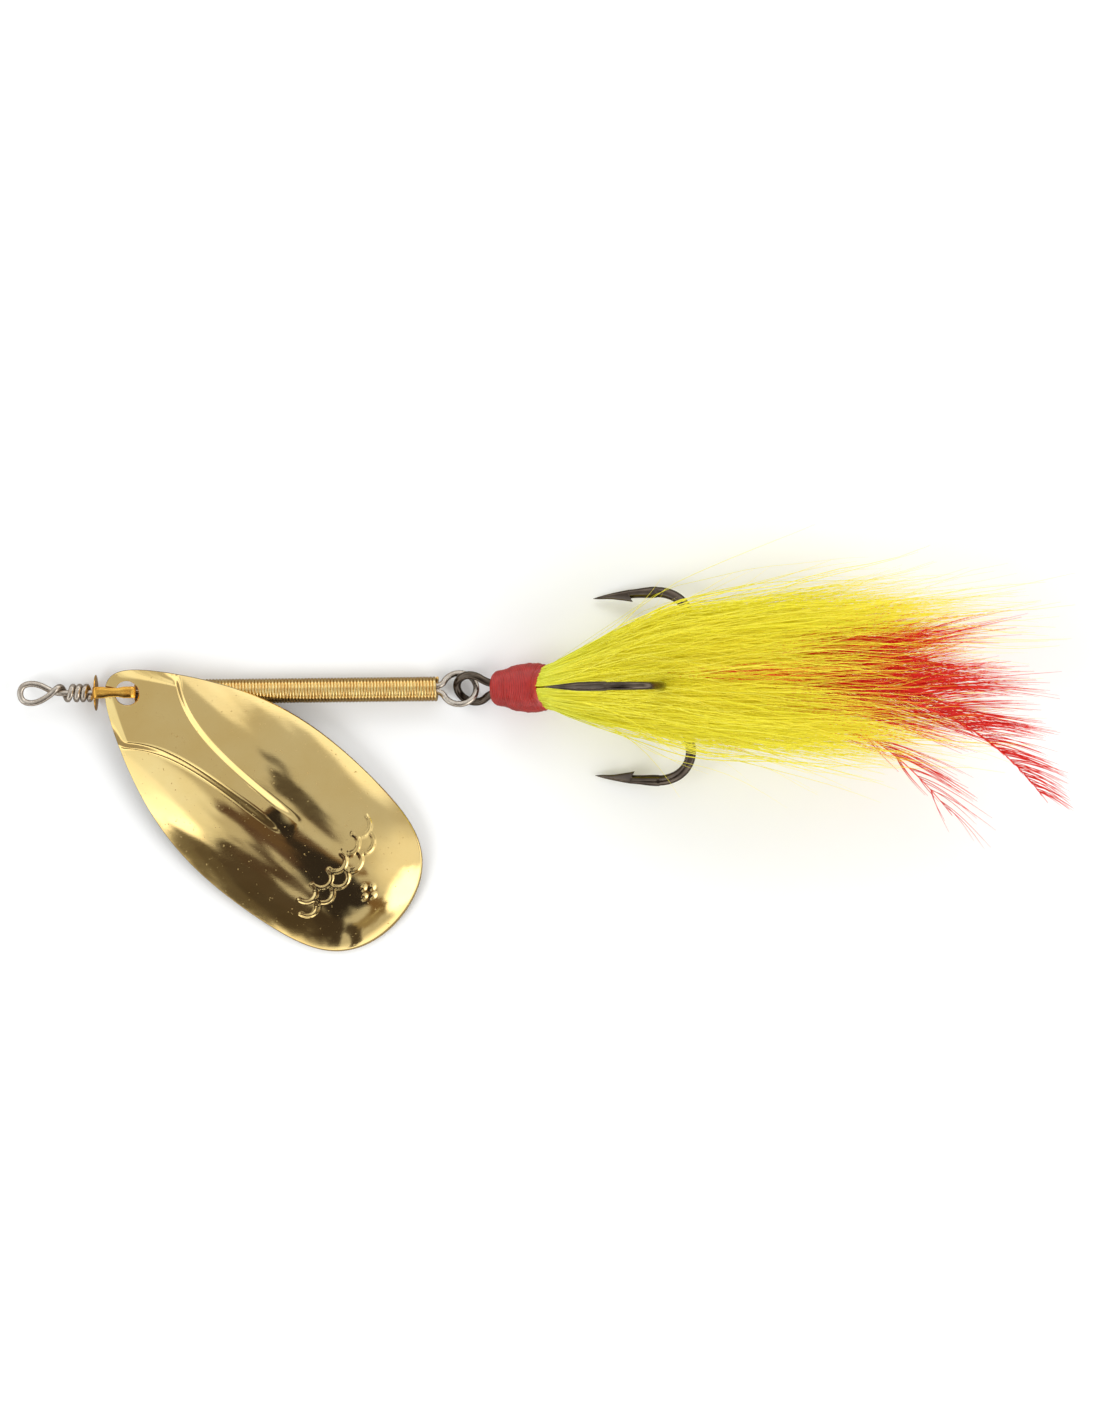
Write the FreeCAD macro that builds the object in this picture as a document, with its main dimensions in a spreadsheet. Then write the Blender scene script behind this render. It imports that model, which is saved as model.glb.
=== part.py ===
import FreeCAD, Part

import math
import os

import Sketcher
from FreeCAD import Placement, Rotation, Vector

# Inline spinner: a wire shaft with a line eye, a blade that turns about the shaft on a stirrup
# clevis, a wound wire body, and a treble hook dressed with hair and feathers.
# Frame: +X along the shaft from the line eye to the tail, +Z away from the surface it lies on,
# origin at the centre of the line eye. Millimetres.

SIZES = {
    # shaft wire, its line eye and the wraps behind it
    "wire_radius": 0.41,
    "eye_half_height": 1.30,
    "eye_front_x": -2.10,
    "eye_cross_x": 2.25,
    "straight_start_x": 3.95,
    "wrap_radius": 0.845,
    "wrap_pitch": 0.90,
    "wrap_first_x": 4.82,
    "wrap_last_x": 7.45,
    # rear loop, in a plane rolled about the shaft
    "loop_roll": -25.0,
    "loop_ring_x": 57.175,
    "loop_ring_radius": 2.30,
    "loop_leg_radius": 1.2,
    "strand_offset": 0.43,
    "strand_split_x": 17.4,
    "strand_parallel_x": 20.4,
    "tag_end_x": 22.0,
    # wound body
    "coil_start_x": 17.1,
    "coil_pitch": 0.45,
    "coil_turns": 83,
    "coil_radius": 1.69,
    "coil_groove_radius": 1.60,
    "coil_bore_radius": 0.93,
    # bearing bead
    "bead_centre_x": 15.45,
    "bead_radius": 1.50,
    "bead_bore_radius": 0.47,
    # clevis
    "clevis_front_x": 7.99,
    "clevis_length": 5.80,
    "clevis_height": 4.20,
    "clevis_strip_width": 1.56,
    "clevis_thickness": 0.28,
    "clevis_corner_radius": 0.75,
    "ear_radius": 2.415,
    "ear_bore_radius": 0.47,
    "waist_width": 1.20,
    "waist_scoop_radius": 5.0,
    "waist_depth": 0.90,
    # blade
    "blade_hole_x": 12.55,
    "blade_rim_z": 1.85,
    "blade_yaw": -40.75,
    "blade_roll": 6.85,
    "blade_front": 3.08,
    "blade_length": 47.76,
    "blade_thickness": 0.50,
    "blade_hole_radius": 1.62,
    "blade_crown_radius": 22.4,
    "rib_tip_half_width": 1.0,
    "rib_flare": 10.1,
    "rib_flare_length": 5.0,
    "rib_end": 27.3,
    "rib_rise": 0.50,
    "neck_rise": 0.25,
    "neck_length": 8.0,
    "rib_shoulder": 0.90,
    # treble hook, in its own frame: origin where it hangs on the loop, +X along the shanks
    "hook_pivot_x": 59.475,
    "hook_pitch": 19.3,
    "hook_wire_radius": 0.55,
    "hook_gape_radius": 14.66,
    "hook_bend_x": 28.74,
    "hook_bend_inner_radius": 8.55,
    "hook_bend_outer_radius": 5.41,
    "hook_point_x": 14.5,
    "hook_point_length": 3.6,
    "hook_tip_radius": 0.06,
    "barb_start": 1.5,
    "barb_length": 2.3,
    "barb_rise": 0.85,
    "barb_half_thickness": 0.16,
    "shank_start_x": 4.2,
    "collar_length": 1.0,
    "third_shank_start_x": 5.3,
    "shank_offset": 0.70,
    "hook_eye_front_x": -2.735,
    "hook_eye_radius": 2.20,
    "hook_eye_wire_radius": 0.525,
    "hook_eye_leg_radius": 4.0,
    "hook_eye_roll": 35.0,
    "hook_eye_leg_offset": 0.60,
    "braze_radius": 0.98,
    "braze_end_x": 21.5,
    # thread
    "underwrap_start_x": 3.95,
    "underwrap_end_x": 9.70,
    "underwrap_bore_radius": 1.29,
    "underwrap_radius": 1.52,
    "whip_front_x": 2.14,
    "whip_step_x": 3.80,
    "whip_butt_x": 4.80,
    "whip_swell_x": 7.30,
    "whip_rear_x": 9.95,
    "whip_front_radius": 2.25,
    "whip_butt_radius": 2.95,
    "whip_swell_radius": 3.32,
    "whip_rear_radius": 3.05,
    "whip_mouth_radius": 1.75,
    "whip_core_radius": 1.58,
    "whip_cavity_radius": 2.62,
    # hair and feathers
    "hair_droop": 9.0,
    "feather_thickness": 0.22,
    "feather_root_half_width": 0.30,
    "feather_root_x": 69.6,
    "feather_root_z": 1.70,
    "feather_slope": 12.0,
    "feather_gap": 0.32,
}

NEARLY_ZERO = 1e-9
SAME_PLACE = 1e-4

doc = FreeCAD.newDocument("inline_spinner")
sheet = doc.addObject("Spreadsheet::Sheet", "Sizes")
for row, (alias, value) in enumerate(SIZES.items(), start=1):
    sheet.set(f"A{row}", alias)
    sheet.set(f"B{row}", str(value))
    sheet.setAlias(f"B{row}", alias)
doc.recompute()


def size(alias):
    return float(sheet.get(alias))


def bind(obj, **expressions):
    """Bind properties of obj to spreadsheet expressions."""
    for name, expression in expressions.items():
        obj.setExpression(name, expression)


def add(kind, label):
    obj = doc.addObject(kind, label)
    obj.Label = label
    return obj


def fixed_shape(label, shape):
    """A document object whose shape Part's functions worked out."""
    obj = add("Part::Feature", label)
    obj.Shape = shape
    return obj


def fuse(label, pieces):
    obj = add("Part::MultiFuse", label)
    obj.Shapes = pieces
    obj.Refine = True
    return obj


def cut(label, base, tool):
    obj = add("Part::Cut", label)
    obj.Base = base
    obj.Tool = tool
    return obj


def smooth_step(value):
    clamped = min(max(value, 0.0), 1.0)
    return clamped * clamped * (3 - 2 * clamped)


def along_x(x):
    """Placement that turns a circle or cylinder to face +X at x on the shaft line."""
    return Placement(Vector(x, 0, 0), Rotation(Vector(0, 1, 0), 90))


def cylinder_x(label, radius, start, length):
    obj = add("Part::Cylinder", label)
    bind(obj, Radius=radius, Height=length)
    obj.Placement = along_x(0)
    obj.setExpression("Placement.Base.x", start)
    return obj


def swept_wire(label, path, radius):
    """A round wire along a tangent-continuous path that starts at path's first point."""
    spine = fixed_shape(label + "_path", path)
    first = path.Edges[0]
    start = first.valueAt(first.FirstParameter)
    heading = first.tangentAt(first.FirstParameter)
    profile = add("Part::Circle", label + "_section")
    profile.setExpression("Radius", radius)
    profile.Placement = Placement(start, Rotation(Vector(0, 0, 1), heading))
    sweep = add("Part::Sweep", label)
    sweep.Sections = [profile]
    sweep.Spine = (spine, [f"Edge{i + 1}" for i in range(len(path.Edges))])
    sweep.Solid = True
    sweep.Frenet = False
    return sweep


# ---------------------------------------------------------------- sketches


def origin_plane(body, role):
    return next(p for p in body.Origin.OriginFeatures if p.Role == role)


def new_sketch(body, label, role, offset=None):
    sketch = body.newObject("Sketcher::SketchObject", label)
    sketch.AttachmentSupport = (origin_plane(body, role), [""])
    sketch.MapMode = "FlatFace"
    if offset:
        sketch.setExpression("AttachmentOffset.Base.z", offset)
    return sketch


def bound_polygon(sketch, corners):
    """A closed polygon whose corners are held by spreadsheet expressions."""
    spots = [Vector(sketch.evalExpression(x), sketch.evalExpression(y), 0) for x, y in corners]
    count = len(spots)
    for i in range(count):
        sketch.addGeometry(Part.LineSegment(spots[i], spots[(i + 1) % count]), False)
    for i in range(count):
        sketch.addConstraint(Sketcher.Constraint("Coincident", i, 2, (i + 1) % count, 1))
    for i, (x, y) in enumerate(corners):
        for kind, value, expression in (("DistanceX", spots[i].x, x), ("DistanceY", spots[i].y, y)):
            if abs(value) < NEARLY_ZERO:
                line = -2 if kind == "DistanceX" else -1
                sketch.addConstraint(Sketcher.Constraint("PointOnObject", i, 1, line))
                continue
            index = sketch.addConstraint(Sketcher.Constraint(kind, -1, 1, i, 1, value))
            sketch.setExpression(f"Constraints[{index}]", expression)


def bound_circle(sketch, radius, centre_x="0", centre_y="0"):
    centre = Vector(sketch.evalExpression(centre_x), sketch.evalExpression(centre_y), 0)
    normal = Vector(0, 0, 1)
    circle = sketch.addGeometry(Part.Circle(centre, normal, sketch.evalExpression(radius)), False)
    index = sketch.addConstraint(Sketcher.Constraint("Radius", circle, sketch.evalExpression(radius)))
    sketch.setExpression(f"Constraints[{index}]", radius)
    if centre.Length < NEARLY_ZERO:
        sketch.addConstraint(Sketcher.Constraint("Coincident", circle, 3, -1, 1))
        return
    for kind, value, expression in (("DistanceX", centre.x, centre_x), ("DistanceY", centre.y, centre_y)):
        if abs(value) < NEARLY_ZERO:
            line = -2 if kind == "DistanceX" else -1
            sketch.addConstraint(Sketcher.Constraint("PointOnObject", circle, 3, line))
            continue
        index = sketch.addConstraint(Sketcher.Constraint(kind, -1, 1, circle, 3, value))
        sketch.setExpression(f"Constraints[{index}]", expression)


def revolved_tube(label, corners):
    """A body turned about X from a closed half section of (x, radius) corners."""
    body = add("PartDesign::Body", label)
    sketch = new_sketch(body, label + "_section", "XY_Plane")
    bound_polygon(sketch, corners)
    turned = body.newObject("PartDesign::Revolution", label + "_turned")
    turned.Profile = sketch
    turned.ReferenceAxis = (sketch, ["H_Axis"])
    turned.Angle = 360
    return body


# ---------------------------------------------------------------- shaft wire


def teardrop_path(ring_x, ring_radius, leg_radius, leg_offset, first_end, second_end, side):
    """Two parallel legs joined by a round ring, in the XY plane.

    side is +1 where the ring lies beyond the legs in +X, and -1 where it lies in -X.
    """
    reach = math.sqrt((ring_radius + leg_radius) ** 2 - (leg_offset + leg_radius) ** 2)
    leg_x = ring_x - side * reach
    leg_centre = Vector(leg_x, leg_offset + leg_radius, 0)
    ring_centre = Vector(ring_x, 0, 0)
    out = (leg_centre - ring_centre).normalize()
    on_ring = ring_centre + out * ring_radius
    leg_foot = Vector(leg_x, leg_offset, 0)
    middle = ((leg_foot - leg_centre) + (on_ring - leg_centre)).normalize()
    leg_middle = leg_centre + middle * leg_radius
    far = Vector(ring_x + side * ring_radius, 0, 0)

    def mirrored(point):
        return Vector(point.x, -point.y, 0)

    edges = [
        Part.LineSegment(Vector(first_end, leg_offset, 0), leg_foot),
        Part.Arc(leg_foot, leg_middle, on_ring),
        Part.Arc(on_ring, far, mirrored(on_ring)),
        Part.Arc(mirrored(on_ring), mirrored(leg_middle), mirrored(leg_foot)),
        Part.LineSegment(mirrored(leg_foot), Vector(second_end, -leg_offset, 0)),
    ]
    return [edge.toShape() for edge in edges]


def shift_bend(start_x, end_x, offset):
    """Two equal arcs that carry a straight wire sideways by offset."""
    run = end_x - start_x
    radius = (run * run + offset * offset) / (4 * offset)
    turn = math.asin(run / 2 / radius)
    half = turn / 2
    first = Vector(start_x + radius * math.sin(half), radius * (1 - math.cos(half)), 0)
    middle = Vector(start_x + run / 2, offset / 2, 0)
    second = Vector(end_x - radius * math.sin(half), offset - radius * (1 - math.cos(half)), 0)
    return [
        Part.Arc(Vector(start_x, 0, 0), first, middle).toShape(),
        Part.Arc(middle, second, Vector(end_x, offset, 0)).toShape(),
    ]


def rear_loop_path():
    straight = Part.LineSegment(
        Vector(size("straight_start_x"), 0, 0), Vector(size("strand_split_x"), 0, 0)
    ).toShape()
    bend = shift_bend(size("strand_split_x"), size("strand_parallel_x"), size("strand_offset"))
    loop = teardrop_path(
        size("loop_ring_x"),
        size("loop_ring_radius"),
        size("loop_leg_radius"),
        size("strand_offset"),
        size("strand_parallel_x"),
        size("tag_end_x"),
        side=1,
    )
    wire = Part.Wire([straight] + bend + loop)
    wire.rotate(Vector(0, 0, 0), Vector(1, 0, 0), size("loop_roll"))
    return wire


def line_eye_path():
    """The eye and its wraps as one curve: along the shaft line, round the eye, then wound back."""
    high = size("eye_half_height")
    front = size("eye_front_x")
    cross = size("eye_cross_x")
    wire = size("wire_radius")
    start = size("straight_start_x")
    points = [
        Vector(start, 0, 0),
        Vector(cross + 0.85, 0.04, -0.30 * wire),
        Vector(cross, 0.24, -wire),
        Vector(cross - 1.15, 0.84, -0.7 * wire),
        Vector(front + 1.35, high, -0.2 * wire),
        Vector(front + 0.36, 0.72 * high, 0),
        Vector(front, 0, 0),
        Vector(front + 0.36, -0.72 * high, 0),
        Vector(front + 1.35, -high, 0.2 * wire),
        Vector(cross - 1.05, -0.72, 0.8 * wire),
        Vector(cross, 0.02, 1.3 * wire),
        Vector(cross + 0.55, 0.56, 1.45 * wire),
    ]
    # the wraps begin at the top of the shaft and go down behind it
    wrap = size("wrap_radius")
    pitch = size("wrap_pitch")
    crest_x = cross + 1.05
    step = 45
    lead_in = size("wrap_first_x") - crest_x
    wound = 360 * (size("wrap_last_x") - size("wrap_first_x")) / pitch
    for angle in range(0, 270 + int(wound) + 1, step):
        if angle < 270:
            x = crest_x + lead_in * angle / 270
        else:
            x = size("wrap_first_x") + pitch * (angle - 270) / 360
        turn = math.radians(angle)
        points.append(Vector(x, wrap * math.cos(turn), -wrap * math.sin(turn)))
    curve = Part.BSplineCurve()
    curve.interpolate(Points=points, InitialTangent=Vector(-1, 0, 0), FinalTangent=points[-1] - points[-2])
    return Part.Wire([curve.toShape()])


def make_shaft_wire():
    loop = swept_wire("shaft_and_loop", rear_loop_path(), "Sizes.wire_radius")
    eye = swept_wire("line_eye_and_wraps", line_eye_path(), "Sizes.wire_radius")
    return fuse("shaft_wire", [loop, eye])


# ---------------------------------------------------------------- wound body and bead


def make_body_coil():
    """Close-wound turns as rings: one shallow arc for each turn, turned about the shaft."""
    start = size("coil_start_x")
    pitch = size("coil_pitch")
    crest = size("coil_radius")
    groove = size("coil_groove_radius")
    bore = size("coil_bore_radius")
    turns = int(size("coil_turns"))
    end = start + turns * pitch
    edges = []
    for turn in range(turns):
        x = start + turn * pitch
        arc = Part.Arc(Vector(x, groove, 0), Vector(x + pitch / 2, crest, 0), Vector(x + pitch, groove, 0))
        edges.append(arc.toShape())
    corners = [
        Vector(end, groove, 0),
        Vector(end, bore, 0),
        Vector(start, bore, 0),
        Vector(start, groove, 0),
    ]
    edges += [Part.LineSegment(a, b).toShape() for a, b in zip(corners, corners[1:])]
    section = Part.Face(Part.Wire(edges))
    return fixed_shape("body_coil", section.revolve(Vector(0, 0, 0), Vector(1, 0, 0), 360))


def make_bearing_bead():
    ball = add("Part::Sphere", "bead_ball")
    bind(ball, Radius="Sizes.bead_radius")
    ball.setExpression("Placement.Base.x", "Sizes.bead_centre_x")
    bore = cylinder_x(
        "bead_bore",
        "Sizes.bead_bore_radius",
        "Sizes.bead_centre_x - Sizes.bead_radius",
        "2 * Sizes.bead_radius",
    )
    return cut("bearing_bead", ball, bore)


# ---------------------------------------------------------------- clevis


def edges_along_y(shape, x, z):
    """Names of the edges that run along Y at this x and z."""
    names = []
    for number, edge in enumerate(shape.Edges, start=1):
        ends = [vertex.Point for vertex in edge.Vertexes]
        if len(ends) != 2:
            continue
        if all(abs(p.x - x) < SAME_PLACE and abs(p.z - z) < SAME_PLACE for p in ends):
            names.append(f"Edge{number}")
    return names


def make_blade_clevis():
    """A strip bent into a stirrup, with a round bored ear at each end."""
    body = add("PartDesign::Body", "blade_clevis")
    length = "Sizes.clevis_length"
    height = "Sizes.clevis_height"
    thick = "Sizes.clevis_thickness"
    strip = new_sketch(body, "clevis_side_view", "XZ_Plane")
    bound_polygon(
        strip,
        [
            ("0", "0"),
            ("0", height),
            (length, height),
            (length, "0"),
            (f"{length} - {thick}", "0"),
            (f"{length} - {thick}", f"{height} - {thick}"),
            (thick, f"{height} - {thick}"),
            (thick, "0"),
        ],
    )
    strap = body.newObject("PartDesign::Pad", "clevis_strip")
    strap.Profile = strip
    strap.Midplane = True
    bind(strap, Length="Sizes.clevis_strip_width")
    doc.recompute()

    outer = edges_along_y(strap.Shape, 0, size("clevis_height"))
    outer += edges_along_y(strap.Shape, size("clevis_length"), size("clevis_height"))
    round_outside = body.newObject("PartDesign::Fillet", "clevis_outer_bends")
    round_outside.Base = (strap, outer)
    bind(round_outside, Radius="Sizes.clevis_corner_radius")
    doc.recompute()

    low = size("clevis_height") - size("clevis_thickness")
    inner = edges_along_y(round_outside.Shape, size("clevis_thickness"), low)
    inner += edges_along_y(round_outside.Shape, size("clevis_length") - size("clevis_thickness"), low)
    round_inside = body.newObject("PartDesign::Fillet", "clevis_inner_bends")
    round_inside.Base = (round_outside, inner)
    bind(round_inside, Radius=f"Sizes.clevis_corner_radius - {thick}")

    for name, offset in (("front", None), ("rear", f"{length} - {thick}")):
        outline = new_sketch(body, f"{name}_ear_outline", "YZ_Plane", offset)
        bound_circle(outline, "Sizes.ear_radius")
        ear = body.newObject("PartDesign::Pad", f"{name}_ear")
        ear.Profile = outline
        bind(ear, Length=thick)

    bore_sketch = new_sketch(body, "clevis_bore_outline", "YZ_Plane")
    bound_circle(bore_sketch, "Sizes.ear_bore_radius")
    bore = body.newObject("PartDesign::Pocket", "clevis_bore")
    bore.Profile = bore_sketch
    bore.Reversed = True
    bind(bore, Length=length)

    waist = new_sketch(body, "clevis_waist_outline", "XY_Plane", height)
    scoop = "Sizes.waist_scoop_radius"
    for side in ("", "-"):
        centre_y = f"{side}({scoop} + Sizes.waist_width / 2)"
        bound_circle(waist, scoop, f"{length} / 2", centre_y)
    scoops = body.newObject("PartDesign::Pocket", "clevis_waist")
    scoops.Profile = waist
    bind(scoops, Length="Sizes.waist_depth")
    body.setExpression("Placement.Base.x", "Sizes.clevis_front_x")
    return body


# ---------------------------------------------------------------- blade


def half_width_squared(u):
    """Square of the blade's half width at u, measured from the hole towards the tip."""
    tens = u / 10
    fullness = 0.106 + 0.0659 * tens + 0.0268 * tens**2 - 0.0207 * tens**3 + 0.00349 * tens**4
    return (u + size("blade_front")) * (size("blade_length") - u) * fullness


def blade_height(u, v):
    """Height of the blade's inner face over its rim plane.

    A shallow dish, with a flat panel at the neck that narrows into a raised rib.
    """
    curve = 1 / (2 * size("blade_crown_radius"))
    width_squared = half_width_squared(u)
    inside = width_squared - v * v
    dish = curve * inside
    rib_half_width = size("rib_tip_half_width") + size("rib_flare") * math.exp(-u / size("rib_flare_length"))
    shoulder = size("rib_shoulder")
    usual_edge_slope = 6.0
    edge_distance = inside / math.hypot(usual_edge_slope, 2 * v)
    on_rib = smooth_step((rib_half_width + shoulder / 2 - abs(v)) / shoulder)
    on_rib *= smooth_step((size("rib_end") - u) / (2 * shoulder))
    on_rib *= smooth_step(edge_distance / shoulder)
    past_neck = smooth_step(u / size("neck_length"))
    rise = size("neck_rise") + (size("rib_rise") - size("neck_rise")) * past_neck
    panel_crown = 0.4
    panel = curve * (width_squared - panel_crown * v * v) + rise
    return dish + on_rib * (panel - dish)


def blade_skin(lift):
    """The blade's inner face, raised by lift, as one smooth surface past its outline."""
    length = size("blade_length") + size("blade_front")
    half_span = 13.6
    u_steps = 66
    v_steps = 40
    margin = 0.6
    rows = []
    for i in range(u_steps + 1):
        u = -size("blade_front") - margin + (length + 2 * margin) * i / u_steps
        row = []
        for j in range(v_steps + 1):
            v = -half_span + 2 * half_span * j / v_steps
            row.append(Vector(u, v, blade_height(u, v) + lift))
        rows.append(row)
    skin = Part.BSplineSurface()
    skin.interpolate(rows)
    return skin.toShape()


def blade_outline():
    """Closed outline of the blade in its own plane, from the width formula."""
    front = -size("blade_front")
    tip = size("blade_length")
    count = 28
    upper = []
    for i in range(1, count):
        # cosine spacing crowds the points at the two round ends
        u = front + (tip - front) * (1 - math.cos(math.pi * i / count)) / 2
        upper.append(Vector(u, math.sqrt(half_width_squared(u)), 0))
    lower = [Vector(p.x, -p.y, 0) for p in reversed(upper)]
    curve = Part.BSplineCurve()
    curve.interpolate(Points=[Vector(front, 0, 0)] + upper + [Vector(tip, 0, 0)] + lower, PeriodicFlag=True)
    return Part.Wire([curve.toShape()])


def make_spinner_blade():
    lower = blade_skin(0)
    upper = blade_skin(size("blade_thickness"))
    sides = [Part.makeRuledSurface(lower.Edges[i], upper.Edges[i]) for i in range(4)]
    slab = Part.Solid(Part.makeShell([lower, upper] + sides))
    if slab.Volume < 0:
        slab.reverse()
    depth = 12
    column = Part.Face(blade_outline()).extrude(Vector(0, 0, depth))
    column.translate(Vector(0, 0, -depth / 2))
    blade = slab.common(column)
    hole = Part.makeCylinder(size("blade_hole_radius"), depth, Vector(0, 0, -depth / 2))
    blade = blade.cut(hole)
    obj = fixed_shape("spinner_blade", blade.Solids[0])
    yaw = Rotation(Vector(0, 0, 1), size("blade_yaw"))
    roll = Rotation(Vector(1, 0, 0), size("blade_roll"))
    obj.Placement = Placement(Vector(size("blade_hole_x"), 0, size("blade_rim_z")), roll * yaw)
    return obj


# ---------------------------------------------------------------- treble hook


def hook_frame():
    """Where the treble hangs on the rear loop, bend end up."""
    return Placement(
        Vector(size("hook_pivot_x"), 0, 0), Rotation(Vector(0, 1, 0), -size("hook_pitch"))
    )


def hook_path(start_x):
    """Shank from start_x, round bend and spear of one hook, opening along +Z."""
    shank = size("shank_offset")
    gape = size("hook_gape_radius")
    inner = size("hook_bend_inner_radius")
    outer = size("hook_bend_outer_radius")
    bend = size("hook_bend_x")
    slant = math.sqrt(0.5)
    rear = Vector(bend, 0, shank + inner)
    shank_end = Vector(bend - inner, 0, shank)
    inner_middle = Vector(bend - inner + inner * slant, 0, shank + inner - inner * slant)
    spear_start = Vector(bend - outer, 0, gape)
    outer_middle = Vector(bend - outer + outer * slant, 0, gape - outer + outer * slant)
    point_base = Vector(size("hook_point_x") + size("hook_point_length"), 0, gape)
    return Part.Wire(
        [
            Part.LineSegment(Vector(start_x, 0, shank), shank_end).toShape(),
            Part.Arc(shank_end, inner_middle, rear).toShape(),
            Part.Arc(rear, outer_middle, spear_start).toShape(),
            Part.LineSegment(spear_start, point_base).toShape(),
        ]
    )


def make_hook(label, angle, start_x):
    """One hook of the treble, turned about the shank line from straight up."""
    wire = swept_wire(label + "_wire", hook_path(start_x), "Sizes.hook_wire_radius")
    point = add("Part::Cone", label + "_point")
    bind(
        point,
        Radius1="Sizes.hook_wire_radius",
        Radius2="Sizes.hook_tip_radius",
        Height="Sizes.hook_point_length",
    )
    gape = size("hook_gape_radius")
    base_x = size("hook_point_x") + size("hook_point_length")
    point.Placement = Placement(Vector(base_x, 0, gape), Rotation(Vector(0, 1, 0), -90))
    inside = gape - size("hook_wire_radius") / 2
    barb_root = size("hook_point_x") + size("barb_start")
    barb_tip = barb_root + size("barb_length")
    barb_tip_z = inside - size("barb_rise")
    half_thickness = size("barb_half_thickness")
    undercut = 0.25
    corners = [
        Vector(barb_root, -half_thickness, inside),
        Vector(barb_tip, -half_thickness, barb_tip_z),
        Vector(barb_tip - undercut, -half_thickness, inside - undercut),
        Vector(barb_tip + undercut, -half_thickness, inside + undercut),
    ]
    flank = Part.Face(Part.makePolygon(corners + corners[:1]))
    barb = fixed_shape(label + "_barb", flank.extrude(Vector(0, 2 * half_thickness, 0)))
    arm = fuse(label, [wire, point, barb])
    arm.Placement = Placement(Vector(0, 0, 0), Rotation(Vector(1, 0, 0), angle))
    return arm


def hook_eye_path():
    ring_x = size("hook_eye_front_x") + size("hook_eye_radius")
    edges = teardrop_path(
        ring_x,
        size("hook_eye_radius"),
        size("hook_eye_leg_radius"),
        size("hook_eye_leg_offset"),
        size("shank_start_x") + size("collar_length"),
        size("shank_start_x") + size("collar_length"),
        side=-1,
    )
    path = Part.Wire(edges)
    path.rotate(Vector(0, 0, 0), Vector(1, 0, 0), size("hook_eye_roll"))
    return path


def make_double_hook():
    """One wire bent into the eye and two hooks; a short collar joins its strands under the thread."""
    eye = swept_wire("hook_eye", hook_eye_path(), "Sizes.hook_eye_wire_radius")
    start = size("shank_start_x")
    arms = [make_hook(f"hook_arm_{i}", angle, start) for i, angle in enumerate((120, 240), start=1)]
    collar = cylinder_x("hook_collar", "Sizes.braze_radius", "Sizes.shank_start_x", "Sizes.collar_length")
    double = fuse("double_hook", [eye] + arms + [collar])
    double.Placement = hook_frame()
    return double


def make_third_hook():
    third = make_hook("third_hook", 0, size("third_shank_start_x"))
    third.Placement = hook_frame()
    return third


def make_hook_braze():
    """Braze metal that fills the hollow between the three shanks."""
    start = "Sizes.third_shank_start_x"
    length = "Sizes.braze_end_x - Sizes.third_shank_start_x"
    core = cylinder_x("braze_core", "Sizes.braze_radius", start, length)
    offset = size("shank_offset")
    groove_radius = "Sizes.hook_wire_radius + 0.005"
    shanks = []
    for i, angle in enumerate((0, 120, 240), start=1):
        turn = math.radians(angle)
        shank = cylinder_x(f"braze_groove_{i}", groove_radius, start, length)
        shank.Placement.Base = Vector(0, -offset * math.sin(turn), offset * math.cos(turn))
        shanks.append(shank)
    braze = cut("hook_braze", core, fuse("braze_grooves", shanks))
    braze.Placement = hook_frame()
    return braze


# ---------------------------------------------------------------- thread


def make_thread_underwrap():
    near = "Sizes.underwrap_start_x"
    far = "Sizes.underwrap_end_x"
    bore = "Sizes.underwrap_bore_radius"
    outer = "Sizes.underwrap_radius"
    body = revolved_tube("thread_underwrap", [(near, bore), (far, bore), (far, outer), (near, outer)])
    body.Placement = hook_frame()
    return body


def make_thread_whipping():
    """The outer winding, hollow where it binds the hair ends."""
    corners = [
        ("whip_front_x", "whip_mouth_radius"),
        ("whip_step_x", "whip_mouth_radius"),
        ("whip_step_x", "whip_core_radius"),
        ("whip_butt_x", "whip_core_radius"),
        ("whip_butt_x", "whip_cavity_radius"),
        ("whip_rear_x", "whip_cavity_radius"),
        ("whip_rear_x", "whip_rear_radius"),
        ("whip_swell_x", "whip_swell_radius"),
        ("whip_butt_x", "whip_butt_radius"),
        ("whip_front_x", "whip_front_radius"),
    ]
    body = revolved_tube("thread_whipping", [(f"Sizes.{x}", f"Sizes.{r}") for x, r in corners])
    body.Placement = hook_frame()
    return body


# ---------------------------------------------------------------- hair and feathers


def hair_section(x, angle, centre, depth, width, drop):
    """An ellipse across a tuft: depth along the radius, width round the shank line."""
    turn = math.radians(angle)
    radial = Vector(0, -math.sin(turn), math.cos(turn))
    around = Vector(0, math.cos(turn), math.sin(turn))
    middle = Vector(x, 0, -drop) + radial * centre
    longer, shorter = (around, radial) if width >= depth else (radial, around)
    ellipse = Part.Ellipse(
        middle + longer * max(width, depth), middle + shorter * min(width, depth), middle
    )
    return Part.Wire([ellipse.toShape()])


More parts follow.
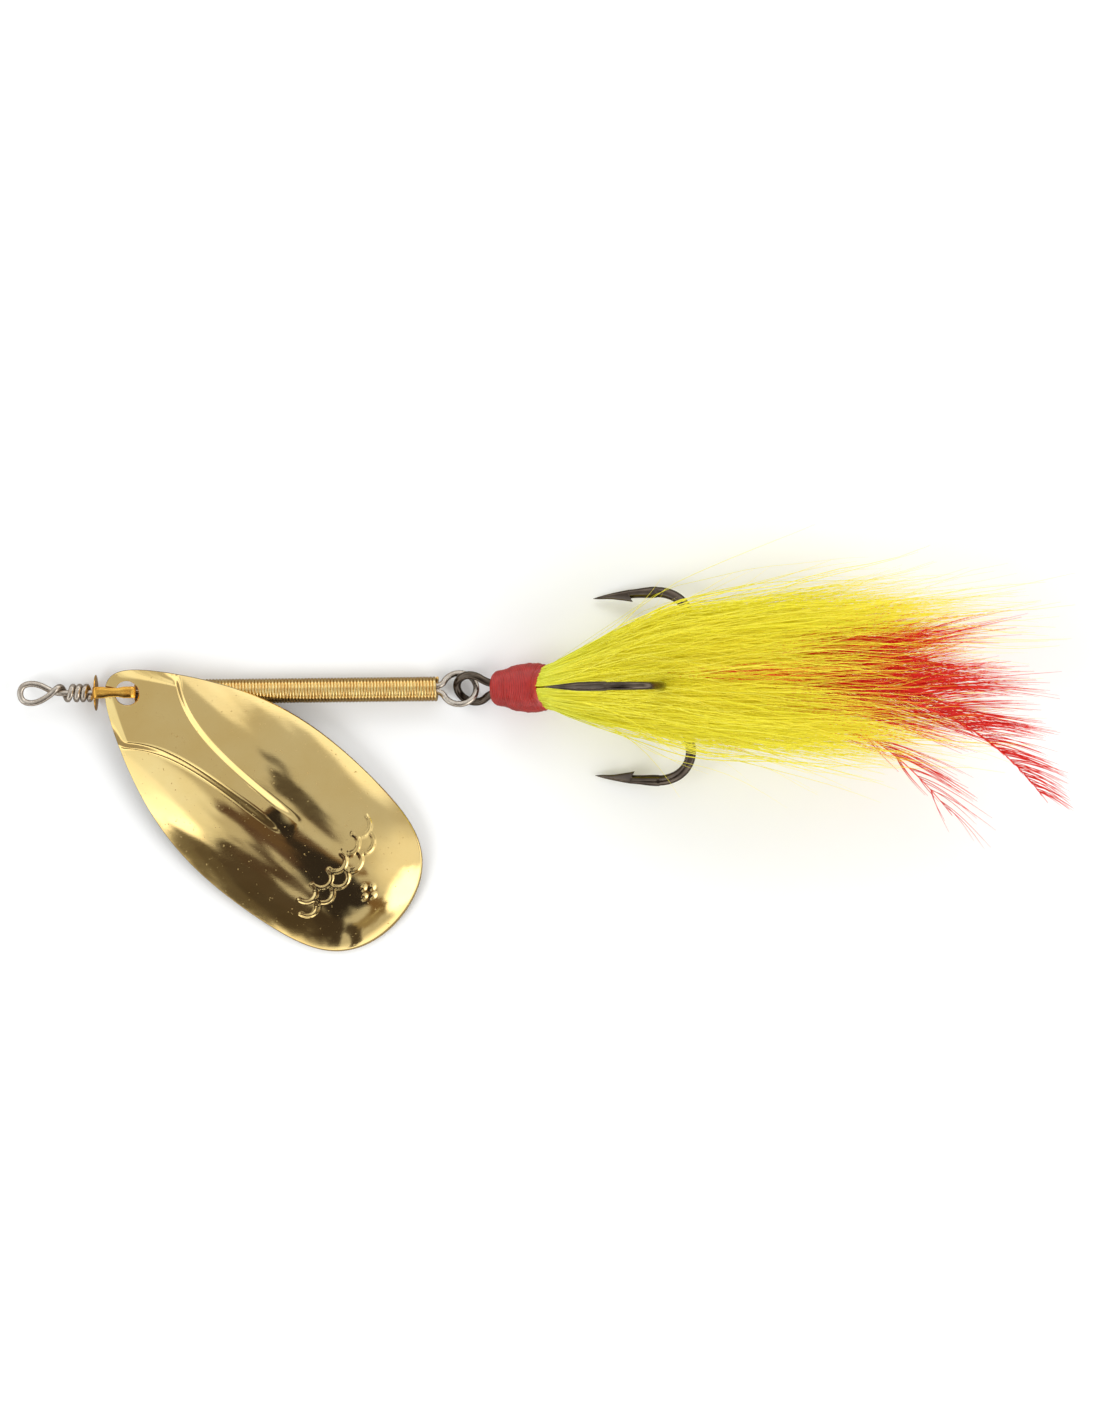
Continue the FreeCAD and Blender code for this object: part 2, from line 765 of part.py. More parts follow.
def make_tuft(label, angle, tail_x):
    """One tuft of hair: bound ends, a belly between two hooks, and a thinning tail."""
    whip_rear = size("whip_rear_x")
    bend = size("hook_bend_x")
    droop = size("hair_droop")
    # x, distance from the shank line, half depth and half width where the tuft has no droop
    belly = (
        (size("whip_butt_x") + 0.3, 2.06, 0.42, 0.95),
        (whip_rear, 2.12, 0.44, 1.0),
        (whip_rear + 4, 2.8, 1.0, 1.6),
        (whip_rear + 10, 4.1, 2.0, 2.6),
        (bend, 5.5, 3.0, 3.7),
    )
    sections = [hair_section(x, angle, centre, depth, width, 0) for x, centre, depth, width in belly]
    steps = 5
    for i in range(1, steps + 1):
        share = i / steps
        depth = 3.4 - 1.8 * share**3
        width = 4.4 + 1.2 * share - 2.2 * share**3
        x = bend + (tail_x - bend) * share
        centre = 5.7 + 0.5 * share
        sections.append(hair_section(x, angle, centre, depth, width, droop * share**2))
    tuft = fixed_shape(label, Part.makeLoft(sections, True, True))
    tuft.Placement = hook_frame()
    return tuft


def make_feather(label, reach, sideways, sweep, half_width, layer):
    """A flat hackle: a quill line that curves sideways, with a tapering vane round it.

    A larger sweep keeps the quill straight for longer before it turns aside.
    The feathers lie one over another; layer counts up from the middle one.
    """
    steps = 14
    tip_share = 0.97
    upper_points = []
    lower_points = []
    for i in range(steps + 1):
        share = i / steps
        quill = Vector(reach * share, sideways * share**sweep, 0)
        swell = math.sin(math.pi * min(share, tip_share) ** 1.5)
        spread = size("feather_root_half_width") + half_width * swell
        upper_points.append(quill + Vector(0, spread, 0))
        lower_points.append(quill - Vector(0, spread, 0))
    upper = Part.BSplineCurve()
    upper.interpolate(upper_points)
    lower = Part.BSplineCurve()
    lower.interpolate(lower_points)
    root_end = Part.LineSegment(lower_points[0], upper_points[0])
    tip_end = Part.LineSegment(upper_points[-1], lower_points[-1])
    outline = Part.Wire(
        Part.__sortEdges__([upper.toShape(), tip_end.toShape(), lower.toShape(), root_end.toShape()])
    )
    feather = fixed_shape(label, Part.Face(outline).extrude(Vector(0, 0, size("feather_thickness"))))
    lift = layer * size("feather_gap")
    root = Vector(size("feather_root_x"), 0, size("feather_root_z") + lift)
    feather.Placement = Placement(root, Rotation(Vector(0, 1, 0), -size("feather_slope")))
    return feather


# ---------------------------------------------------------------- the whole spinner

parts = [
    make_shaft_wire(),
    make_body_coil(),
    make_bearing_bead(),
    make_blade_clevis(),
    make_spinner_blade(),
    make_double_hook(),
    make_third_hook(),
    make_hook_braze(),
    make_thread_underwrap(),
    make_thread_whipping(),
    make_tuft("bucktail_tuft_right", 60, 66),
    make_tuft("bucktail_tuft_left", -60, 66),
    make_tuft("bucktail_tuft_under", 180, 58),
    make_feather("hackle_feather_upper", 62.0, 4.0, 1.0, 2.8, 1),
    make_feather("hackle_feather_middle", 63.0, -2.5, 2.6, 3.0, 0),
    make_feather("hackle_feather_lower", 67.5, -16.2, 5.0, 3.2, -1),
    make_feather("hackle_feather_outer", 60.0, -20.5, 4.2, 2.2, -2),
]

doc.recompute()
for obj in doc.Objects:
    if "Invalid" in obj.State or "Error" in obj.State:
        raise RuntimeError(f"{obj.Label} failed: {obj.State}")

os.makedirs("parts", exist_ok=True)
for part in parts:
    shape = part.Shape
    if shape.isNull() or not shape.isValid() or not shape.Solids:
        raise RuntimeError(f"{part.Label} has no valid solid")
    box = shape.BoundBox
    print(
        f"{part.Label}: {len(shape.Solids)} solid, {shape.Volume:.2f} mm3, "
        f"x {box.XMin:.2f} {box.XMax:.2f}, y {box.YMin:.2f} {box.YMax:.2f}, z {box.ZMin:.2f} {box.ZMax:.2f}"
    )
    shape.exportStep(f"parts/{part.Label}.step")
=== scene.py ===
import math

import bpy
import numpy as np
from mathutils import Matrix, Vector


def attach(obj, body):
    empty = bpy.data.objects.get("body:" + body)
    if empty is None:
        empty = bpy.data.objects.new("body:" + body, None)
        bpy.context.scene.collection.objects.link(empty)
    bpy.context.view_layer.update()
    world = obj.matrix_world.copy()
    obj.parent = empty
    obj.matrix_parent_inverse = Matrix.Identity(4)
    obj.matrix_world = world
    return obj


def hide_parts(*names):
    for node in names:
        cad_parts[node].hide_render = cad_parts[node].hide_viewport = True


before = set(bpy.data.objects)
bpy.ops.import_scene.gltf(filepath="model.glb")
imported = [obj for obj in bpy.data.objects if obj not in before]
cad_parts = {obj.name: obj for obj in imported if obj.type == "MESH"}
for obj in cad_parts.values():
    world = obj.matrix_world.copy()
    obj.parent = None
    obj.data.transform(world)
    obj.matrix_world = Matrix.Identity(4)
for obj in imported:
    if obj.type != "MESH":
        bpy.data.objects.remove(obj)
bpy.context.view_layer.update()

# Inline spinner: the looks of each piece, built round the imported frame.
# Shapes are worked out in millimetres in the frame's own axes and stored in metres.

MM = 0.001


# ---- shape helpers


def unit(vectors):
    return vectors / np.linalg.norm(vectors, axis=-1, keepdims=True)


def smooth_step(value):
    clamped = np.clip(value, 0, 1)
    return clamped * clamped * (3 - 2 * clamped)


def turned(points, axis, degrees):
    """Points, or directions, turned about an axis through the origin."""
    turn = np.array(Matrix.Rotation(math.radians(degrees), 3, axis))
    return np.asarray(points, float) @ turn.T


def arc(centre, radius, start, end, steps):
    """Points on an arc in the XY plane, from one angle to another in degrees."""
    angles = np.radians(np.linspace(start, end, steps + 1))
    spots = [radius * np.cos(angles), radius * np.sin(angles), np.zeros(steps + 1)]
    return np.asarray(centre, float) + np.stack(spots, axis=-1)


def straight(start, end, steps):
    share = np.linspace(0, 1, steps + 1)[:, None]
    return np.asarray(start, float) * (1 - share) + np.asarray(end, float) * share


def around(count):
    """Angles evenly spaced round a full circle."""
    return np.linspace(0, 2 * np.pi, count, endpoint=False)


def squared_circle(angles, across_power, height_power):
    """A unit circle pressed towards a square: the lower the powers, the flatter its sides."""
    across = np.sign(np.cos(angles)) * np.abs(np.cos(angles)) ** across_power
    height = np.sign(np.sin(angles)) * np.abs(np.sin(angles)) ** height_power
    return across, height


def run_along(line):
    """The distance travelled along a line to each of its points."""
    return np.concatenate([[0], np.cumsum(np.linalg.norm(np.diff(line, axis=0), axis=1))])


def revolved(x, radius, angles):
    """Points at x along the X axis and at a radius from it, at each angle round it."""
    return np.stack(np.broadcast_arrays(x, radius * np.cos(angles), radius * np.sin(angles)), axis=-1)


def joined(*lines):
    """Lines end to end, without the points that they share."""
    kept = [lines[0]] + [line[1:] for line in lines[1:]]
    return np.concatenate(kept)


def spline(points, steps, start_direction):
    """A smooth curve through the points, with steps samples for each span."""
    points = np.asarray(points, float)
    count = len(points)
    gaps = np.linalg.norm(np.diff(points, axis=0), axis=1)
    slopes = np.diff(points, axis=0) / gaps[:, None]
    system = np.zeros((count, count))
    target = np.zeros((count, 3))
    system[0, 0] = 1
    target[0] = start_direction
    system[-1, -2:] = (1, 2)
    target[-1] = 3 * slopes[-1]
    for i in range(1, count - 1):
        before, after = gaps[i - 1], gaps[i]
        system[i, i - 1 : i + 2] = (after, 2 * (before + after), before)
        target[i] = 3 * (after * slopes[i - 1] + before * slopes[i])
    tangents = np.linalg.solve(system, target)
    t = np.linspace(0, 1, steps, endpoint=False)[:, None]
    spans = []
    for i in range(count - 1):
        start_part = (1 + 2 * t) * (1 - t) ** 2 * points[i] + t * (1 - t) ** 2 * gaps[i] * tangents[i]
        end_part = t * t * (3 - 2 * t) * points[i + 1] - t * t * (1 - t) * gaps[i] * tangents[i + 1]
        spans.append(start_part + end_part)
    return np.concatenate(spans + [points[-1:]])


def frames_along(line):
    """Two directions across a line at each point, carried along it from upright without twist."""
    tangents = unit(np.gradient(line, axis=0))
    up = np.empty_like(line)
    current = np.array((0.0, 0.0, 1.0))
    for i, tangent in enumerate(tangents):
        current = current - tangent * np.dot(current, tangent)
        current = current / np.linalg.norm(current)
        up[i] = current
    return np.cross(up, tangents), up


def ring_faces(rows, columns, first=0):
    """Quads between rings of points, each ring closed on itself."""
    i = np.arange(rows - 1)[:, None]
    j = np.arange(columns)[None, :]
    following = (j + 1) % columns
    corner = first + i * columns
    quads = [corner + j, corner + following, corner + columns + following, corner + columns + j]
    return np.stack(quads, axis=-1).reshape(-1, 4)


def fan_faces(centre, first, columns, flip):
    j = np.arange(columns)
    following = (j + 1) % columns
    ends = (first + following, first + j) if flip else (first + j, first + following)
    return np.stack([np.full(columns, centre), *ends], axis=-1)


def loft(line, side, up, across, height):
    """A closed solid whose section at each point of a line is the curve (across, height)."""
    rings = line[:, None] + across[..., None] * side[:, None] + height[..., None] * up[:, None]
    rows, columns = across.shape
    points = np.concatenate([rings.reshape(-1, 3), line[:1], line[-1:]])
    total = rows * columns
    faces = [
        ring_faces(rows, columns),
        fan_faces(total, 0, columns, True),
        fan_faces(total + 1, total - columns, columns, False),
    ]
    return points, faces


# a cut wire's chamfer: its length and depth as shares of the wire's radius
CHAMFER_LENGTH = 0.18
CHAMFER_DEPTH = 0.252


def tube(line, radius, sides):
    """A round wire along a line; its ends are cut square with a small chamfer."""
    radius = np.broadcast_to(np.asarray(radius, float), (len(line),)).copy()
    tangents = unit(np.gradient(line, axis=0))
    start = line[0] - tangents[0] * CHAMFER_LENGTH * radius[0]
    end = line[-1] + tangents[-1] * CHAMFER_LENGTH * radius[-1]
    line = np.concatenate([[start], line, [end]])
    ends = (1 - CHAMFER_DEPTH) * radius[[0, -1]]
    radius = np.concatenate([ends[:1], radius, ends[1:]])
    side, up = frames_along(line)
    circle = radius[:, None, None] * squared_circle(around(sides), 1, 1)
    return loft(line, side, up, circle[:, 0], circle[:, 1])


def ring_skin(rings):
    """A closed solid from rings of points, the last ring joined to the first."""
    rows, columns = rings.shape[:2]
    points = rings.reshape(-1, 3)
    return points, [ring_faces(rows + 1, columns) % len(points)]


def lathe(profile, sides):
    """A closed ring turned about X from a closed section of (x, radius) points."""
    return ring_skin(revolved(profile[:, :1], profile[:, 1:], around(sides)))


def merged(*solids):
    """Several (points, faces) solids as one."""
    points, faces, first = [], [], 0
    for spots, sets in solids:
        points.append(spots)
        faces += [face_set + first for face_set in sets]
        first += len(spots)
    return np.concatenate(points), faces


def strands(lines, radii, sides):
    """Many thin tapered tubes at once. lines is (strand, station, xyz) and radii (strand, station)."""
    tangents = unit(np.gradient(lines, axis=1))
    side = unit(np.cross(tangents, (0.0, 0.0, 1.0)))
    up = np.cross(side, tangents)
    angles = around(sides)[None, None, :, None]
    offsets = side[:, :, None] * np.cos(angles) + up[:, :, None] * np.sin(angles)
    rings = lines[:, :, None] + radii[:, :, None, None] * offsets
    count, stations = radii.shape
    each = stations * sides
    quads = ring_faces(stations, sides)
    end_cap = np.arange(sides)
    caps = np.stack([end_cap[::-1], end_cap + each - sides])
    firsts = (np.arange(count) * each)[:, None, None]
    faces = [(quads[None] + firsts).reshape(-1, 4), (caps[None] + firsts).reshape(-1, sides)]
    return rings.reshape(-1, 3), faces


def make_mesh(name, points, faces):
    mesh = bpy.data.meshes.new(name)
    corners = np.concatenate([face_set.ravel() for face_set in faces]).astype(np.int32)
    sizes = np.concatenate([np.full(len(face_set), face_set.shape[1]) for face_set in faces])
    starts = np.concatenate([[0], np.cumsum(sizes)[:-1]]).astype(np.int32)
    mesh.vertices.add(len(points))
    mesh.vertices.foreach_set("co", (points * MM).astype(np.float32).ravel())
    mesh.loops.add(len(corners))
    mesh.loops.foreach_set("vertex_index", corners)
    mesh.polygons.add(len(starts))
    mesh.polygons.foreach_set("loop_start", starts)
    mesh.update(calc_edges=True)
    mesh.validate()
    mesh.shade_smooth()
    return mesh


def placed(name, data):
    """A new object in the scene."""
    obj = bpy.data.objects.new(name, data)
    bpy.context.scene.collection.objects.link(obj)
    return obj


def finish(mesh, material):
    """One material for the whole mesh, in place of any that it had."""
    mesh.materials.clear()
    mesh.materials.append(material)


def add_piece(name, shape, material, body, slot, *nodes):
    """A finished piece, from a solid or a mesh, that rides on a body and stands for CAD nodes."""
    mesh = shape if isinstance(shape, bpy.types.Mesh) else make_mesh(name, *shape)
    obj = placed(name, mesh)
    finish(mesh, material)
    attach(obj, body)
    if nodes:
        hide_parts(*nodes)
    return obj


def tint(obj, name, values):
    """A number at each point of the mesh, for its material."""
    attribute = obj.data.attributes.new(name, "FLOAT", "POINT")
    attribute.data.foreach_set("value", np.asarray(values, np.float32).ravel())


def tint_strands(obj, shades, along, sides):
    """The shade of each strand, and how far along its strand each point lies, from 0 to 1."""
    stations = along.shape[-1]
    tint(obj, "shade", np.repeat(shades, stations * sides))
    tint(obj, "along", np.repeat(np.broadcast_to(along, (len(shades), stations)), sides))


# ---- materials


def linear(red, green, blue):
    """A colour given as 0 to 255 screen values."""
    channels = np.array([red, green, blue]) / 255
    low = channels / 12.92
    high = ((channels + 0.055) / 1.055) ** 2.4
    return (*np.where(channels <= 0.04045, low, high), 1.0)


def new_material(name, **values):
    """A material with a Principled shader; values are its sockets, with _ for a space."""
    material = bpy.data.materials.new(name)
    material.use_nodes = True
    tree = material.node_tree
    shader = next(n for n in tree.nodes if n.type == "BSDF_PRINCIPLED")
    for socket, value in values.items():
        shader.inputs[socket.replace("_", " ")].default_value = value
    return material, tree, shader


def add_node(tree, kind, inputs, **settings):
    node = tree.nodes.new("ShaderNode" + kind)
    for setting, value in settings.items():
        setattr(node, setting, value)
    for socket, value in inputs.items():
        if isinstance(value, bpy.types.NodeSocket):
            tree.links.new(value, node.inputs[socket])
        else:
            node.inputs[socket].default_value = value
    return node


def place_of(tree, stretch=(1, 1, 1), turn=(0, 0, 0)):
    """Object coordinates, stretched and turned."""
    where = add_node(tree, "TexCoord", {}).outputs["Object"]
    inputs = {"Vector": where, "Scale": stretch, "Rotation": turn}
    return add_node(tree, "Mapping", inputs).outputs["Vector"]


def noise(tree, place, size_mm, detail=3.0, roughness=0.55):
    inputs = {"Vector": place, "Scale": 1000 / size_mm, "Detail": detail, "Roughness": roughness}
    return add_node(tree, "TexNoise", inputs).outputs["Fac"]


def point_value(tree, name):
    """The number that tint() put at each point."""
    return add_node(tree, "Attribute", {}, attribute_name=name).outputs["Fac"]


def ranged(tree, value, low, high, to_low=0, to_high=1, shape="LINEAR"):
    limits = {"Value": value, "From Min": low, "From Max": high, "To Min": to_low, "To Max": to_high}
    return add_node(tree, "MapRange", limits, interpolation_type=shape).outputs["Result"]


def vector_math(tree, operation, *values):
    return add_node(tree, "VectorMath", dict(enumerate(values)), operation=operation).outputs


def mixed(tree, share, first, second):
    """A colour between two colours."""
    made = add_node(tree, "Mix", {0: share, 6: first, 7: second}, data_type="RGBA")
    return made.outputs[2]


def cloudy(tree, place, size_mm, light, dark, detail=3.0):
    """Soft clouds of two colours."""
    clouds = noise(tree, place, size_mm, detail)
    return mixed(tree, ranged(tree, clouds, 0.35, 0.7), linear(*light), linear(*dark))


def uneven_polish(tree, place, size_mm, gloss):
    """Roughness that drifts between two values."""
    return ranged(tree, noise(tree, place, size_mm, detail=5), 0.3, 0.7, *gloss)


def bump(tree, shader, height, depth_mm):
    made = add_node(tree, "Bump", {"Height": height, "Distance": depth_mm * MM, "Strength": 1.0})
    tree.links.new(made.outputs["Normal"], shader.inputs["Normal"])


def metal(name, light, dark, patch_mm, gloss, scratch_stretch, scratch_mm, scratch_depth, **extra):
    """A metal with cloudy colour, uneven polish and fine scratches along one direction."""
    material, tree, shader = new_material(name, Metallic=1.0, **extra)
    place = place_of(tree)
    tree.links.new(cloudy(tree, place, patch_mm, light, dark), shader.inputs["Base Color"])
    tree.links.new(uneven_polish(tree, place, patch_mm * 0.3, gloss), shader.inputs["Roughness"])
    scratches = noise(tree, place_of(tree, scratch_stretch), scratch_mm, detail=4, roughness=0.7)
    bump(tree, shader, scratches, scratch_depth)
    return material


def gold_plate():
    """Bright plated gold: faint swirls, pits and rubbing marks in a mirror finish."""
    material, tree, shader = new_material("gold_plate", Metallic=1.0)
    place = place_of(tree)
    warm = cloudy(tree, place, 9.0, (248, 222, 156), (242, 211, 139), detail=4)
    specks = noise(tree, place, 0.42, detail=2, roughness=0.4)
    speck_share = ranged(tree, specks, 0.69, 0.77, 0, 0.6)
    worn = mixed(tree, speck_share, warm, linear(206, 172, 106))
    tree.links.new(worn, shader.inputs["Base Color"])
    polish = uneven_polish(tree, place_of(tree, (1, 3, 1), (0, 0, 0.7)), 4.0, (0.05, 0.11))
    dusty = add_node(tree, "Math", {0: polish, 1: speck_share}, operation="MAXIMUM")
    tree.links.new(dusty.outputs["Value"], shader.inputs["Roughness"])
    swirls = noise(tree, place_of(tree, (1, 14, 1), (0, 0, 0.71)), 1.6, detail=5, roughness=0.7)
    bump(tree, shader, swirls, 0.0016)
    return material


def thread_red():
    """Red silk under varnish, painted darker between the turns as painted shade, with a wet coat over it.
    """
    material, tree, shader = new_material(
        "thread_red", Roughness=0.45, Coat_Weight=0.6, Coat_Roughness=0.10
    )
    # painted shade: the red is darkened towards deep red in the grooves between the turns
    groove_shade_share = point_value(tree, "painted_groove_shade")
    red = cloudy(tree, place_of(tree), 1.1, (182, 32, 26), (158, 20, 18), detail=4)
    shaded = mixed(tree, groove_shade_share, red, linear(104, 8, 10))
    tree.links.new(shaded, shader.inputs["Base Color"])
    fibres = noise(tree, place_of(tree, (8, 1, 1)), 0.5, detail=3)
    bump(tree, shader, fibres, 0.012)
    return material


def fibre(name, colours, gloss, glow, glow_strength):
    """Dyed hair or feather: each strand has its own shade, with fine streaks along it.

    colours are three shades of strand, then the roots, the tips and the streaks. A faint glow
    stands for the light that comes through the strands.
    """
    material, tree, shader = new_material(
        name, Roughness=gloss, Emission_Color=linear(*glow), Emission_Strength=glow_strength
    )
    dull, usual, bright, root, tip, streak = [linear(*colour) for colour in colours]
    own = point_value(tree, "shade")
    along = point_value(tree, "along")
    duller = mixed(tree, ranged(tree, own, 0.0, 0.5), dull, usual)
    body = mixed(tree, ranged(tree, own, 0.5, 1.0), duller, bright)
    rooted = mixed(tree, ranged(tree, along, 0.0, 0.35, 1, 0), body, root)
    tipped = mixed(tree, ranged(tree, along, 0.72, 1.0), rooted, tip)
    streaks = noise(tree, place_of(tree, (0.25, 3, 3)), 0.8, detail=3)
    streaked = mixed(tree, ranged(tree, streaks, 0.3, 0.75, 0, 0.35), tipped, streak)
    tree.links.new(streaked, shader.inputs["Base Color"])
    bump(tree, shader, streaks, 0.01)
    return material


STEEL = metal("drawn_steel", (226, 217, 206), (190, 179, 166), 2.2, (0.20, 0.34), (1, 9, 9), 0.7, 0.006)
COIL_BRASS = metal(
    "coil_brass", (248, 222, 156), (236, 198, 128), 1.3, (0.13, 0.22), (6, 1, 1), 0.6, 0.0008
)
BEAD_BRASS = metal("bead_brass", (228, 182, 96), (198, 146, 66), 1.6, (0.16, 0.28), (9, 1, 1), 0.5, 0.003)
CLEVIS_BRASS = metal(
    "clevis_brass", (250, 198, 96), (228, 164, 68), 1.8, (0.16, 0.27), (1, 6, 1), 0.5, 0.003
)
BLACK_NICKEL = metal(
    "black_nickel", (104, 92, 80), (70, 60, 52), 2.4, (0.14, 0.26), (1, 5, 5), 0.7, 0.004,
    Coat_Weight=0.35, Coat_Roughness=0.08,
)
BRAZE = metal("braze_metal", (176, 150, 96), (120, 96, 60), 0.9, (0.35, 0.5), (1, 1, 1), 0.5, 0.01)
GOLD = gold_plate()
THREAD = thread_red()
YELLOW_HAIR = fibre(
    "bucktail_yellow",
    ((222, 216, 46), (238, 230, 56), (248, 243, 104), (200, 212, 74), (250, 232, 72), (210, 202, 42)),
    0.40, (236, 222, 40), 0.14,
)
RED_HACKLE = fibre(
    "hackle_red",
    ((210, 22, 18), (236, 36, 28), (244, 72, 50), (206, 22, 20), (240, 56, 42), (192, 18, 18)),
    0.36, (236, 40, 30), 0.10,
)


# ---- shaft wire

WIRE_RADIUS = 0.41
EYE_HALF_HEIGHT = 1.30
EYE_FRONT = -2.10
EYE_CROSS = 2.25
STRAIGHT_START = 3.95
WRAP_RADIUS = 0.845
WRAP_PITCH = 0.90
WRAP_FIRST = 4.82
WRAP_LAST = 7.45
LOOP_ROLL = -25.0
LOOP_RING_X = 57.175
LOOP_RING_RADIUS = 2.30
LOOP_LEG_RADIUS = 1.2
STRAND_OFFSET = 0.43
STRAND_SPLIT = 17.4
STRAND_PARALLEL = 20.4
TAG_END = 22.0


def teardrop(ring_x, ring_radius, leg_radius, offset, leg_end, side):
    """Half of a loop in the XY plane: a leg at +offset from leg_end, its bend, and half the ring.

    side is +1 where the ring lies beyond the leg in +X, and -1 where it lies in -X.
    """
    reach = math.sqrt((ring_radius + leg_radius) ** 2 - (offset + leg_radius) ** 2)
    swing = math.degrees(math.acos(reach / (ring_radius + leg_radius)))
    leg = straight((-leg_end, offset, 0), (-reach, offset, 0), 60)
    bend = arc((-reach, offset + leg_radius, 0), leg_radius, -90, -swing, 18)
    ring = arc((0, 0, 0), ring_radius, 180 - swing, 0, 60)
    half = joined(leg, bend, ring)
    half[:, 0] *= side
    half[:, 0] += ring_x
    return half


def rear_loop():
    """From the tag end round the loop and back to where the shaft runs single."""
    leg_length = LOOP_RING_X - STRAND_PARALLEL
    half = teardrop(LOOP_RING_X, LOOP_RING_RADIUS, LOOP_LEG_RADIUS, STRAND_OFFSET, leg_length, 1)
    other = half * (1, -1, 1)
    tag = other[other[:, 0] > TAG_END]
    share = np.linspace(0, 1, 24)
    split = np.stack(
        [
            STRAND_PARALLEL + (STRAND_SPLIT - STRAND_PARALLEL) * share,
            STRAND_OFFSET * (1 - smooth_step(share)),
            np.zeros_like(share),
        ],
        axis=-1,
    )
    run = straight((STRAND_SPLIT, 0, 0), (STRAIGHT_START, 0, 0), 30)
    return turned(joined(tag, half[::-1], split, run), "X", LOOP_ROLL)


def line_eye():
    """Round the eye and through the wraps, from the front of the straight shaft."""
    high, front, cross, wire = EYE_HALF_HEIGHT, EYE_FRONT, EYE_CROSS, WIRE_RADIUS
    points = [
        (STRAIGHT_START, 0, 0),
        (cross + 0.85, 0.04, -0.30 * wire),
        (cross, 0.24, -wire),
        (cross - 1.15, 0.84, -0.7 * wire),
        (front + 1.35, high, -0.2 * wire),
        (front + 0.36, 0.72 * high, 0),
        (front, 0, 0),
        (front + 0.36, -0.72 * high, 0),
        (front + 1.35, -high, 0.2 * wire),
        (cross - 1.05, -0.72, 0.8 * wire),
        (cross, 0.02, 1.3 * wire),
        (cross + 0.55, 0.56, 1.45 * wire),
    ]
    crest = cross + 1.05
    lead = WRAP_FIRST - crest
    wound = 360 * (WRAP_LAST - WRAP_FIRST) / WRAP_PITCH
    for angle in range(0, 271 + int(wound), 45):
        x = crest + lead * min(angle, 270) / 270 + WRAP_PITCH * max(angle - 270, 0) / 360
        turn = math.radians(angle)
        points.append((x, WRAP_RADIUS * math.cos(turn), -WRAP_RADIUS * math.sin(turn)))
    return spline(points, 9, (-1, 0, 0))


def make_shaft_wire():
    line = joined(rear_loop(), line_eye())
    add_piece("shaft_wire_drawn", tube(line, WIRE_RADIUS, 20), STEEL, "shaft", "shaft_steel", "shaft_wire")


# ---- wound body and bead

COIL_START = 17.1
COIL_PITCH = 0.45
COIL_TURNS = 83
COIL_RADIUS = 1.69
COIL_STEPS = 44
COIL_SIDES = 12
COIL_HALF_WIDE = 0.2295
COIL_HALF_HIGH = 0.235
COIL_SWAY = 0.004


def make_body_coil():
    """One brass wire, close-wound; its section is a little taller than it is wide."""
    turns = np.linspace(0, COIL_TURNS, COIL_TURNS * COIL_STEPS)
    turn = 2 * np.pi * turns
    out = revolved(0.0, 1.0, turn)
    length = COIL_TURNS * COIL_PITCH - 2 * COIL_HALF_WIDE
    sway = COIL_SWAY * (np.sin(turn / 11) + 0.75 * np.sin(turn / 4.3))
    line = out * (COIL_RADIUS - COIL_HALF_HIGH + sway)[:, None]
    line[:, 0] = COIL_START + COIL_HALF_WIDE + length * turns / COIL_TURNS
    tangents = unit(np.gradient(line, axis=0))
    angles = around(COIL_SIDES)
    across = np.broadcast_to(COIL_HALF_WIDE * np.cos(angles), (len(line), COIL_SIDES))
    height = np.broadcast_to(COIL_HALF_HIGH * np.sin(angles), (len(line), COIL_SIDES))
    solid = loft(line, np.cross(out, tangents), out, across, height)
    add_piece("body_coil_wound", solid, COIL_BRASS, "shaft", "coil_brass", "body_coil")


BEAD_CENTRE = 15.45
BEAD_RADIUS = 1.50
BEAD_BORE = 0.47
BEAD_SINK = 0.17
BEAD_LINE_DEPTH = 0.03
BEAD_LINE_ANGLE = 2.2


def make_bearing_bead():
    """A turned ball with a countersunk bore and a fine turned line at its waist."""
    rim = math.degrees(math.asin((BEAD_BORE + BEAD_SINK) / BEAD_RADIUS))
    angles = np.linspace(rim, 180 - rim, 61)
    radius = BEAD_RADIUS - BEAD_LINE_DEPTH * np.exp(-(((angles - 90) / BEAD_LINE_ANGLE) ** 2))
    angles = np.radians(angles)
    ball = np.stack([-radius * np.cos(angles), radius * np.sin(angles)], axis=-1)
    bore_end = ball[-1, 0] - BEAD_SINK
    bore = straight((bore_end, BEAD_BORE), (-bore_end, BEAD_BORE), 8)
    profile = np.concatenate([ball, bore])
    profile[:, 0] += BEAD_CENTRE
    add_piece("bearing_bead_turned", lathe(profile, 72), BEAD_BRASS, "bead", "bead_brass", "bearing_bead")


# ---- clevis

CLEVIS_FRONT = 7.99
CLEVIS_LENGTH = 5.80
CLEVIS_HEIGHT = 4.20
CLEVIS_THICK = 0.28
CORNER_RADIUS = 0.75
STRIP_HALF_WIDTH = 0.78
WAIST_HALF_WIDTH = 0.60
WAIST_SCOOP = 5.0
EAR_RADIUS = 2.415
EAR_BORE = 0.47
EAR_BLEND = 0.16
EAR_BLEND_END = 1.2
STRIP_POWERS = (0.35, 0.55)
DOME_RISE = 0.16
DOME_SINK = 0.10
DOME_END = 3.4
DOME_FADE = 1.2


